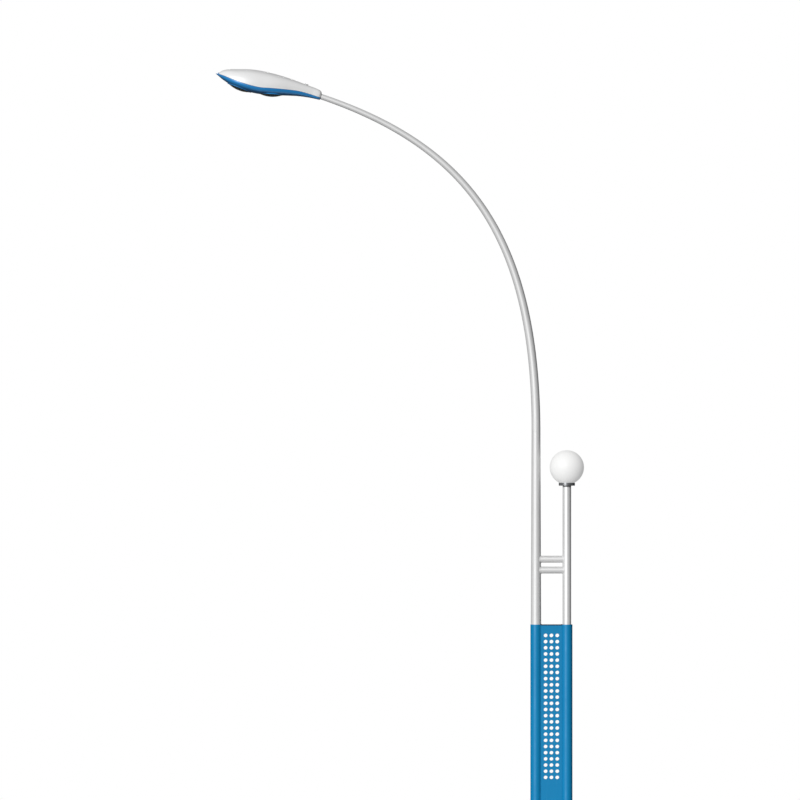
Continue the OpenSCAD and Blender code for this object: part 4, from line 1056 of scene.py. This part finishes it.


# The column cap and its welds: their dark navy finish is painted shade for the shadow line along the
# column's top
cap_low, cap_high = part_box("web_cap")
bm = bmesh.new()
level_plate(bm, "web_cap", cap_low.z, cap_high.z)
put("column_cap", bm, "cap_navy", "web_cap", sharp=FLAT)
bm = bmesh.new()
for side in (-1, 1):
    path = []
    for k in range(61):
        y = cap_high.y * 0.94 * (k / 30 - 1)
        path.append(Vector((side * (sheet_half(y) - 0.4 * MM), y, cap_high.z + 0.3 * MM)))
    bead(bm, path, 1.9 * MM, ripple=0.08)
put("cap_welds", bm, "cap_navy")

low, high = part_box("web_diaphragms")
DIAPHRAGM_T = 4 * MM
bm = bmesh.new()
level_plate(bm, "web_diaphragms", low.z, low.z + DIAPHRAGM_T)
level_plate(bm, "web_diaphragms", high.z - DIAPHRAGM_T, high.z)
put("inner_diaphragms", bm, "column_blue", "web_diaphragms", sharp=FLAT)

# ---------------------------------------------------------------- door and lock

DOOR_MID = DOOR_Z / MM
OPEN_X, OPEN_H = DOOR_W / 2 / MM, DOOR_H / 2 / MM
KNUCKLE_R, KNUCKLE_H, KNUCKLE_GAP, PIN_R = 5.5, 30.0, 0.3, 2.5
BORE_R = PIN_R + 0.05
HINGE_X, HINGE_Y = -86.2, -34.3
HINGE_ZS = (DOOR_MID - OPEN_H + 90, DOOR_MID + OPEN_H - 90)
LEAF_LOW, LEAF_HIGH, LEAF_LAP = 30.3, 33.3, 12.0
LOCK_X = OPEN_X - 18


def around_opening(reach, corner):
    """An outline that reaches past the service opening on every side."""
    return rectangle(-OPEN_X - reach, DOOR_MID - OPEN_H - reach, OPEN_X + reach, DOOR_MID + OPEN_H + reach,
        corner)


bm = bmesh.new()
plate(bm, around_opening(12, 4), [around_opening(0, 3)], 16, 24, 0.8, FRONT)
for z in HINGE_ZS:
    for way in (-1, 1):
        mid = z + way * (KNUCKLE_H + KNUCKLE_GAP)
        barrel(bm, at(HINGE_X, HINGE_Y, mid), KNUCKLE_R, BORE_R, -KNUCKLE_H / 2, KNUCKLE_H / 2)
        block(bm, (HINGE_X - 3, HINGE_Y + 3.2, mid - KNUCKLE_H / 2), (HINGE_X + 3, -28, mid + KNUCKLE_H / 2),
            0.5, MILLI)
put("opening_frame", bm, "column_blue", "door_frame", sharp=FLAT)

bm = bmesh.new()
for z in HINGE_ZS:
    turned(bm, [(0, -45.3), (2.1, -45.3), (PIN_R, -44.9), (PIN_R, 45.6), (3.9, 45.6), (4, 46.3), (3.4, 47.2),
        (1.8, 47.6), (0, 47.6)], at(HINGE_X, HINGE_Y, z), 40)
put("hinge_pins", bm, "steel", "door_hinge_pins")

bm = bmesh.new()
plate(bm, around_opening(10, 4), [around_opening(0, 3)], 28, 30, 0.7, FRONT)
put("opening_seal", bm, "rubber", "door_gasket")

bm = bmesh.new()
plate(bm, around_opening(LEAF_LAP, 4), [circle(LOCK_X, DOOR_MID, 7.05)], LEAF_LOW, LEAF_HIGH, 0.8, FRONT)
for z in HINGE_ZS:
    barrel(bm, at(HINGE_X, HINGE_Y, z), KNUCKLE_R, BORE_R, -KNUCKLE_H / 2, KNUCKLE_H / 2)
    block(bm, (HINGE_X + 3.2, -LEAF_HIGH, z - KNUCKLE_H / 2), (HINGE_X + 11, -LEAF_LOW, z + KNUCKLE_H / 2),
        0.5, MILLI)
    seam = [Vector((-OPEN_X - LEAF_LAP + 0.6, -LEAF_HIGH - 0.1, z - 13 + 26 * k / 30)) * MM
        for k in range(31)]
    bead(bm, seam, 1.4 * MM, ripple=0.1, sides=8)
put("door_leaf", bm, "column_blue", "access_door", body="access_door", sharp=FLAT)

bm = bmesh.new()
key = rounded([(LOCK_X + 5 * cos(a), DOOR_MID + 5 * sin(a)) for a in (0, 2 * pi / 3, 4 * pi / 3)], 0.6)
plate(bm, circle(LOCK_X, DOOR_MID, 11, 64), [key], 33.4, 36.4, 0.8, FRONT)
rod(bm, at(LOCK_X, 0, DOOR_MID) @ TO_FRONT, 7, 15.5, 33.4, 0.3)
block(bm, (LOCK_X - 6, -15.5, DOOR_MID - 6), (LOCK_X + 6, -12.5, DOOR_MID + 32), 0.6, MILLI)
hexagon(bm, at(LOCK_X, -12.5, DOOR_MID) @ TO_REAR, 5, 2.2)
put("cam_lock", bm, "steel", "door_lock", body="door_lock", sharp=FLAT)

# ---------------------------------------------------------------- equipment behind the door

BACK = 20.7                        # front face of the mounting plate
bm = bmesh.new()
plate(bm, rectangle(-55, DOOR_MID - 220, 55, DOOR_MID + 220, 3), [circle(x * 45, DOOR_MID + z * 208, 3, 24)
    for x in (-1, 1) for z in (-1, 1)], -BACK - 3, -BACK, 0.5, FRONT)
put("mounting_plate", bm, "steel", "equipment_plate", sharp=FLAT)

BOX_LOW, BOX_HIGH = DOOR_MID + 40, DOOR_MID + 190
BOX_FRONT = BACK - 28
bm = bmesh.new()
block(bm, (-48, BOX_FRONT + 9, BOX_LOW), (48, BACK, BOX_HIGH), 1.6, MILLI)
block(bm, (-47, BOX_FRONT + 7, BOX_LOW + 1), (47, BOX_FRONT + 10, BOX_HIGH - 1), 0.4, MILLI)
block(bm, (-48, BOX_FRONT, BOX_LOW), (48, BOX_FRONT + 8.3, BOX_HIGH), 1.6, MILLI)
for k in range(5):
    block(bm, (-40, BOX_FRONT - 2, BOX_LOW + 25 + 25 * k), (40, BOX_FRONT + 0.5, BOX_LOW + 33 + 25 * k), 0.8,
        MILLI)
for side in (-1, 1):
    gland = at(side * 24, 4, BOX_HIGH)
    hexagon(bm, gland, 10, 7)
    turned(bm, [(8.4, 6.6), (9.3, 7.4), (9.3, 13.5), (8.6, 16), (7.6, 17.6), (6.8, 18), (6.2, 17.4),
        (6.2, 6.6)], gland)
put("joint_box", bm, "black_plastic", "fuse_box", sharp=FLAT)
bm = bmesh.new()
for x in (-43, 43):
    for z in (BOX_LOW + 7, BOX_HIGH - 7):
        turned(bm, [(0, 6), (3, 6), (3, 8.0), (2.4, 8.6), (1.4, 8.7), (1.3, 7.8), (0, 7.8)], at(x, 0, z)
            @ TO_FRONT, 24)
put("joint_box_screws", bm, "steel")

SWITCH_Z = DOOR_MID - 75
bm = bmesh.new()
side_view = [(BACK, -35), (BACK - 22, -35), (BACK - 22, -19), (BACK - 28, -19), (BACK - 28, 19),
    (BACK - 22, 19), (BACK - 22, 35), (BACK, 35)]
plate(bm, rounded(side_view, 1.2), [], -18, 18, 0.8, at(0, 0, SWITCH_Z) @ ALONG_X)
switch = add("switch_body", bm, FLAT)
cutters = bmesh.new()
block(cutters, (-9, BACK - 29, SWITCH_Z - 13), (9, BACK - 14, SWITCH_Z + 13), 0.3, MILLI)
screws = bmesh.new()
for x in (-9, 9):
    for z in (-27, 27):
        hole = at(x, BACK - 22, SWITCH_Z + z) @ TO_FRONT
        rod(cutters, hole, 3.4, -4, 2, 0.2, 24)
        turned(screws, [(0, -5), (3, -5), (3, -2.4), (2.5, -2), (1.4, -2), (1.3, -2.9), (0, -2.9)], hole, 24)
cut(switch, cutters)
settle(switch, "post", "white_plastic", "breaker")
put("switch_screws", screws, "steel")

bm = bmesh.new()
rod(bm, at(0, BACK - 21, SWITCH_Z) @ spin(pi / 2, "Y"), 6, -8.7, 8.7)
block(bm, (-5.7, BACK - 34, SWITCH_Z - 2.5), (5.7, BACK - 21, SWITCH_Z + 2.5), 0.9, MILLI)
put("switch_lever", bm, "black_plastic", "breaker_lever", body="breaker_lever", sharp=FLAT)

stud = at(0, BACK, DOOR_MID - 170) @ TO_FRONT
bm = bmesh.new()
threaded(bm, stud, 4, 0, 22)
hexagon(bm, stud, 8, 6)
rod(bm, stud, 9, 6, 7.5, 0.3)
hexagon(bm, stud @ shift(0, 0, 7.5), 8, 6)
put("earth_stud", bm, "brass", "earth_bolt", sharp=FLAT)

# ---------------------------------------------------------------- inside the tubes

bm = bmesh.new()
for side in (-1, 1):
    barrel(bm, at(side * 87.75, GROMMET.y / MM, GROMMET.z / MM) @ spin(side * pi / 2, "Y"), 11.8, 8.5, -5.25,
        3.25, 0.9)
put("tube_grommets", bm, "rubber", "cable_grommets")

TUBE_MID = TUBE_X / MM
HOLD_R = (TUBE_R - TUBE_WALL) / MM - 0.2
shaft_foot = shaft_low.z / MM
TOP = COLUMN_TOP / MM
stops, bushes = bmesh.new(), bmesh.new()
for side in (-1, 1):
    barrel(stops, at(side * TUBE_MID, 0, 0), HOLD_R, HOLD_R - 17.8, shaft_foot - 10.3, shaft_foot - 0.3)
for low_z in (TOP - 40, shaft_foot + 20):
    barrel(bushes, at(TUBE_MID, 0, 0), HOLD_R, POST_R / MM + 0.2, low_z, low_z + 40, 1.2)
put("shaft_stops", stops, "steel", "pole_stops")
put("nylon_bushes", bushes, "rubber", "post_bushes")

bm = bmesh.new()
for x, tip in ((-TUBE_MID, SHAFT_R / MM + 0.05), (TUBE_MID, POST_R / MM + 0.05)):
    for z in (SCREW_LOW.z + SCREW_HEAD, SCREW_HIGH.z - SCREW_HEAD):
        screw = at(x, 0, z / MM) @ TO_REAR
        threaded(bm, screw, 4.95, tip, TUBE_R / MM + 1)
        hexagon(bm, screw @ shift(0, 0, TUBE_R / MM + 0.5), 8.5, 7)
put("locking_screws", bm, "steel", "sleeve_screws", sharp=FLAT)

fit_r = (BEND_R - POLE_WALL) / MM - 1.2
fit_low, fit_high = fit_r + TAPER * 160, fit_r - TAPER * 50
bm = bmesh.new()
turned(bm, [(fit_low - 0.6, 0), (fit_low, 0.6), (fit_high, 209.4), (fit_high - 0.6, 210),
    (fit_high - 4, 210), (fit_high - 4, 0)], at(-TUBE_MID, 0, BEND_Z / MM - 160))
put("arm_joint", bm, "steel", "joint_sleeve")


def smooth_path(points, steps=8):
    """A rounded path through points."""
    out = []
    for i in range(len(points) - 1):
        a, b = points[i], points[i + 1]
        before, after = points[max(0, i - 1)], points[min(len(points) - 1, i + 2)]
        for k in range(steps):
            t = k / steps
            out.append(0.5 * (2 * a + (b - before) * t + (2 * before - 5 * a + 4 * b - after) * t * t
                + (3 * a - before - 3 * b + after) * t ** 3))
    return out + [points[-1]]


CABLE_R, CABLE_Y = 6 * MM, 4 * MM
grommet_z = GROMMET.z / MM
for name, node, side in (("arm_cable", "pole_cable", -1), ("globe_cable", "post_cable", 1)):
    start = [(24, BOX_HIGH - 10), (24, grommet_z - 38), (27, grommet_z - 15), (36, grommet_z - 4),
        (54, grommet_z), (98, grommet_z), (113, grommet_z + 3), (127, grommet_z + 14),
        (TUBE_MID, grommet_z + 34), (TUBE_MID, grommet_z + 80)]
    path = smooth_path([Vector((side * x, 0, z)) * MM for x, z in start])
    if side < 0:
        path += [Vector((-TUBE_X, 0, BEND_Z * k / 4 + path[-1].z * (1 - k / 4))) for k in (1, 2, 3)]
        path += [arm_at(k / ARM_STEPS) for k in range(ARM_STEPS + 1)]
        path += [arm_end + arm_dir * ARM_SOCKET, arm_end + arm_dir * (ARM_SOCKET + 0.040)]
    else:
        path.append(Vector((TUBE_X, 0, collar_z + 3 * MM)))
    bm = bmesh.new()
    bead(bm, [p + Vector((0, CABLE_Y, 0)) for p in path], CABLE_R, ripple=0, sides=20)
    put(name, bm, "cable_sheath", node)

# ---------------------------------------------------------------- inside the globe

COLLAR_Z = collar_z / MM
NECK, HOLDER_Z = NECK_R / MM, COLLAR_Z + 5
bm = bmesh.new()
barrel(bm, at(TUBE_MID, 0, 0), NECK, NECK - 6, HOLDER_Z, HOLDER_Z + 3, 0.9)
put("globe_seal", bm, "rubber", "globe_gasket")
bm = bmesh.new()
for angle in GRUB_ANGLES:
    turned(bm, [(0, NECK + 0.3), (2.6, NECK + 0.3), (2.95, NECK + 0.7), (2.95, 70.6), (2.6, 71), (1.6, 71),
        (1.5, 69), (0, 69)], at(TUBE_MID, 0, grub_z / MM) @ spin(radians(angle), "Z") @ spin(pi / 2, "Y"),
        24)
put("grub_screws", bm, "steel", "globe_screws")
bm = bmesh.new()
turned(bm, [(0, 0), (21.4, 0), (22, 0.6), (22, 11.4), (21.4, 12), (19.8, 12), (19, 12.8), (19, 40),
    (18.4, 41), (19, 42), (19, 57.2), (18.2, 58), (14, 58), (13.2, 57.2), (13.2, 22), (0, 22)],
    at(TUBE_MID, 0, HOLDER_Z))
put("ceramic_holder", bm, "ceramic_white", "lamp_holder")
base = at(TUBE_MID, 0, HOLDER_Z + 24)
bm = bmesh.new()
bowl = [(30 * cos(a), 88 + 30 * sin(a)) for a in (radians(-37 + 127 * k / 40) for k in range(40))]
turned(bm, [(0, 33), (12.4, 33), (13, 36), (14, 37), (16.5, 46), (20.5, 59)] + bowl + [(0, 118)], base)
put("bulb", bm, "bulb_glass", "globe_bulb")
bm = bmesh.new()
threaded(bm, base, 13, 2, 35, 3.6)
rod(bm, base, 6, 0, 3, 0.6)
put("bulb_cap", bm, "steel", sharp=60)

# ---------------------------------------------------------------- luminaire hinge and latch

AXIS_U, AXIS_W, HINGE_R, HINGE_PIN_R = 927, -96, 6, 3
LEAF_HALF, LUG_HALF = HINGE_HALF, 16
hinge = LAMP @ shift(AXIS_U, 0, AXIS_W) @ TO_FRONT
deck = seam_at(AXIS_U) - SEAM_GAP + 0.1
lugs, leaf = bmesh.new(), bmesh.new()
for low_y, high_y in ((LEAF_HALF + 0.3, LUG_HALF), (-LUG_HALF, -LEAF_HALF - 0.3)):
    barrel(lugs, hinge, HINGE_R, HINGE_PIN_R + 0.05, low_y, high_y)
    block(lugs, (AXIS_U - 5, low_y, deck), (AXIS_U + 5, high_y, AXIS_W - 3.2), 0.5, LAMP)
put("hinge_lugs", lugs, "luminaire_blue", "cover_hinge", sharp=FLAT)
bm = bmesh.new()
rod(bm, hinge, HINGE_PIN_R, -LUG_HALF - 2, LUG_HALF + 2, 0.8)
put("hinge_pin", bm, "steel", "cover_hinge_pin")
barrel(leaf, hinge, HINGE_R, HINGE_PIN_R + 0.05, -LEAF_HALF, LEAF_HALF)
under = [(u, cover_at(u) - COVER_WALL - 1.2) for u in (904, 888, 872)]
plate(leaf, [(AXIS_U - 2, AXIS_W + 4)] + under + [(u, w - 3) for u, w in reversed(under)]
    + [(AXIS_U - 5, AXIS_W)], [], -LEAF_HALF, LEAF_HALF, 0.4, LAMP @ TO_FRONT)
put("hinge_leaf", leaf, "steel", "cover_hinge_leaf", body="top_cover", sharp=FLAT)

LATCH_HEAD_R, KEEPER_W = 17, 26
latch = LAMP @ shift(LATCH_U, 0, 0)
latch_top = max(cover_at(LATCH_U - LATCH_HEAD_R), cover_at(LATCH_U + LATCH_HEAD_R)) + 0.3
bm = bmesh.new()
rod(bm, latch, LATCH_HEAD_R, latch_top, latch_top + 4, 1.2, 96)
head = add("latch_head", bm, FLAT)
cutters = bmesh.new()
block(cutters, (-12, -1.5, latch_top + 2.5), (12, 1.5, latch_top + 6), 0.3, latch)
cut(head, cutters)
settle(head, "cover_latch", "steel", "cover_latch")
bm = bmesh.new()
rod(bm, latch, LATCH_R, KEEPER_W - 5, latch_top + 1)
block(bm, (-11, -3, KEEPER_W - 5), (11, 3, KEEPER_W - 0.5), 0.6, latch)
put("latch_bar", bm, "steel", body="cover_latch", sharp=FLAT)

TRAY_U, TRAY_W, TRAY_TILT, TRAY_T, TRAY_HALF = 152, -10, radians(11), 2.5, 44
TRAY_END = 566
TRAY = LAMP @ shift(TRAY_U, 0, TRAY_W) @ spin(TRAY_TILT, "Y")


def tray_w(u):
    return TRAY_W - (u - TRAY_U) * tan(TRAY_TILT)


def floor_at(u, y):
    """Height of the casing's inner floor."""
    start = seam_at(u) - SEAM_GAP
    half = half_at(u) - TRAY_WALL
    return start - (start - keel_at(u) - TRAY_WALL) * (1 - (y / half) ** TRAY_N) ** (1 / TRAY_N)


bm = bmesh.new()
plate(bm, rectangle(LATCH_U - 20, -12, LATCH_U + 23, 12, 2), [rectangle(LATCH_U - 15, -4.5, LATCH_U + 15,
    4.5, 1)], KEEPER_W, KEEPER_W + 3, 0.5, LAMP)
block(bm, (LATCH_U + 20, -12, tray_w(LATCH_U + 22) + TRAY_T + 1.5), (LATCH_U + 23, 12, KEEPER_W + 1), 0.5,
    LAMP)
put("latch_keeper", bm, "steel", "latch_bracket", sharp=FLAT)

# ---------------------------------------------------------------- luminaire insides

bm = bmesh.new()
plate(bm, rectangle(0, -TRAY_HALF, (TRAY_END - TRAY_U) / cos(TRAY_TILT), TRAY_HALF, 4),
    [circle(x, 0, 9) for x in (110, 190, 270)], 0, TRAY_T, 0.6, TRAY)
for u in (TRAY_U + 12, TRAY_END - 8):
    for y in (-30, 30):
        rod(bm, LAMP @ shift(u, y, 0), 5, floor_at(u - 5, 35) + 0.8, tray_w(u) + 1)
put("gear_plate", bm, "steel", "gear_tray", sharp=FLAT)

driver = TRAY @ shift(130, 0, TRAY_T + 0.1)
bm = bmesh.new()
block(bm, (0, -32, 0), (150, 32, 27.5), 1.5, driver)
for k in range(8):
    block(bm, (4, 8 * k - 30, 26), (146, 8 * k - 26, 30), 0.8, driver)
for x0, x1, hole_x in ((-12, 0.5, -6), (149.5, 162, 156)):
    plate(bm, rectangle(x0, -20, x1, 20, 2), [circle(hole_x, 0, 2.5, 24)], 0, 3, 0.5, driver)
put("driver_case", bm, "cast_aluminium", "led_driver", sharp=FLAT)

terminal = TRAY @ shift(60, -30, TRAY_T + 0.1)
bm, screws = bmesh.new(), bmesh.new()
ways = [9 + 14 * k for k in range(4)]
plate(bm, rectangle(0, 0, 24, 60, 1.5), [circle(12, y, 4, 32) for y in ways], 6, 20, 0.8, terminal)
block(bm, (0.1, 0.1, 0), (23.9, 59.9, 6.2), 0.5, terminal)
for y in ways:
    turned(screws, [(0, 6), (3.4, 6), (3.4, 11), (3, 11.5), (1.5, 11.5), (1.4, 10), (0, 10)], terminal
        @ shift(12, y, 0), 24)
put("terminal_block", bm, "white_plastic", "luminaire_terminal", sharp=FLAT)
put("terminal_screws", screws, "steel")

CLAMP_U, CLAMP_L, EAR_HALF, EAR_TOP = 62, 50, 40, 8
SADDLE_R, SADDLE_BORE = 28, 24.2
for name, node, way in (("saddle_upper", "clamp_upper", 1), ("saddle_lower", "clamp_lower", -1)):
    lift, dip = atan2(EAR_TOP, sqrt(SADDLE_R ** 2 - EAR_TOP ** 2)), atan2(1, sqrt(SADDLE_BORE ** 2 - 1))
    over = [lift + (pi - 2 * lift) * k / 32 for k in range(33)]
    below = [pi - dip - (pi - 2 * dip) * k / 32 for k in range(33)]
    outline = [(EAR_HALF, 1), (EAR_HALF, EAR_TOP)] + [(SADDLE_R * cos(a), SADDLE_R * sin(a)) for a in over]
    outline += [(-EAR_HALF, EAR_TOP), (-EAR_HALF, 1)] + [(SADDLE_BORE * cos(a), SADDLE_BORE * sin(a))
        for a in below]
    bm = bmesh.new()
    plate(bm, [(y, way * w) for y, w in outline], [], 0, CLAMP_L, 0.6, LAMP @ shift(CLAMP_U, 0, 0) @ ALONG_X)
    if way < 0:
        block(bm, (CLAMP_U + 2, -12, floor_at(CLAMP_U, 12) + 0.8), (CLAMP_U + CLAMP_L - 2, 12, -26), 0.8,
            LAMP)
    put(name, bm, "cast_aluminium", node, sharp=FLAT)
bm = bmesh.new()
for x in (12, CLAMP_L - 12):
    for y in (-34, 34):
        bolt = LAMP @ shift(CLAMP_U + x, y, 0)
        threaded(bm, bolt, 4, -13, 9)
        hexagon(bm, bolt @ shift(0, 0, EAR_TOP + 0.1), 6, 4)
        hexagon(bm, bolt @ shift(0, 0, -EAR_TOP - 4.1), 6, 4)
put("saddle_bolts", bm, "steel", "clamp_bolts", sharp=FLAT)

bm = bmesh.new()
for side in (-1, 1):
    rings = []
    for u in [40 + 9 * k for k in range(92)] + [870]:
        y, w = (half_at(u) - TRAY_WALL) * 0.985 - 0.3, seam_at(u)
        strip = rectangle(y - 5, w - 6, y, w + 3, 1.4)
        rings.append([LAMP @ Vector((u, side * p.x, p.y)) for p in strip])
    loft(bm, rings)
put("seam_seal", bm, "rubber", "cover_gasket")

SEAL_Z = LENS_T + 0.3
REFLECTOR_Z = SEAL_Z + 2.8
BOARD_Z = REFLECTOR_Z + 18.3
SINK_Z = BOARD_Z + 2.1
SINK_R = 56
seals, dishes, boards, sinks = (bmesh.new() for _ in range(4))
for u in UNIT_US:
    unit = at_unit(u) @ MILLI
    barrel(seals, unit, FLANGE_R, LIP_RING_R - 2, SEAL_Z, SEAL_Z + 2.5, 0.8)
    turned(dishes, [(FLANGE_R, REFLECTOR_Z), (FLANGE_R, REFLECTOR_Z + 1.5), (93.8, REFLECTOR_Z + 1.5),
        (43.5, REFLECTOR_Z + 18), (42, REFLECTOR_Z + 18), (96.5, REFLECTOR_Z)], unit, 128)
    plate(boards, circle(0, 0, 45, 96), [], BOARD_Z, BOARD_Z + 2, 0.4, unit)
    for ring_r, count in ((12, 4), (28, 8)):
        for k in range(count):
            chip = unit @ spin(2 * pi * k / count, "Z") @ shift(ring_r, 0, BOARD_Z)
            block(boards, (-2.5, -2.5, -1.6), (2.5, 2.5, 0.2), 0.4, chip)
            turned(boards, [(0, -1.5), (1.9, -1.5), (1.7, -2.0), (1.0, -2.5), (0, -2.7)], chip, 20)
    rod(sinks, unit, SINK_R, SINK_Z, SINK_Z + 4, 0.8, 96)
    for k in range(-4, 5):
        length = sqrt(SINK_R ** 2 - (12 * k) ** 2) - 1
        block(sinks, (-length, 12 * k - 1.25, SINK_Z + 3), (length, 12 * k + 1.25, SINK_Z + 18), 0.5, unit)
put("lens_seals", seals, "rubber", "lens_gaskets")
put("reflector_dishes", dishes, "reflector_bright", "reflectors")
put("chip_boards", boards, "board_white", "led_boards", sharp=FLAT)
put("finned_sinks", sinks, "cast_aluminium", "heat_sinks", sharp=FLAT)
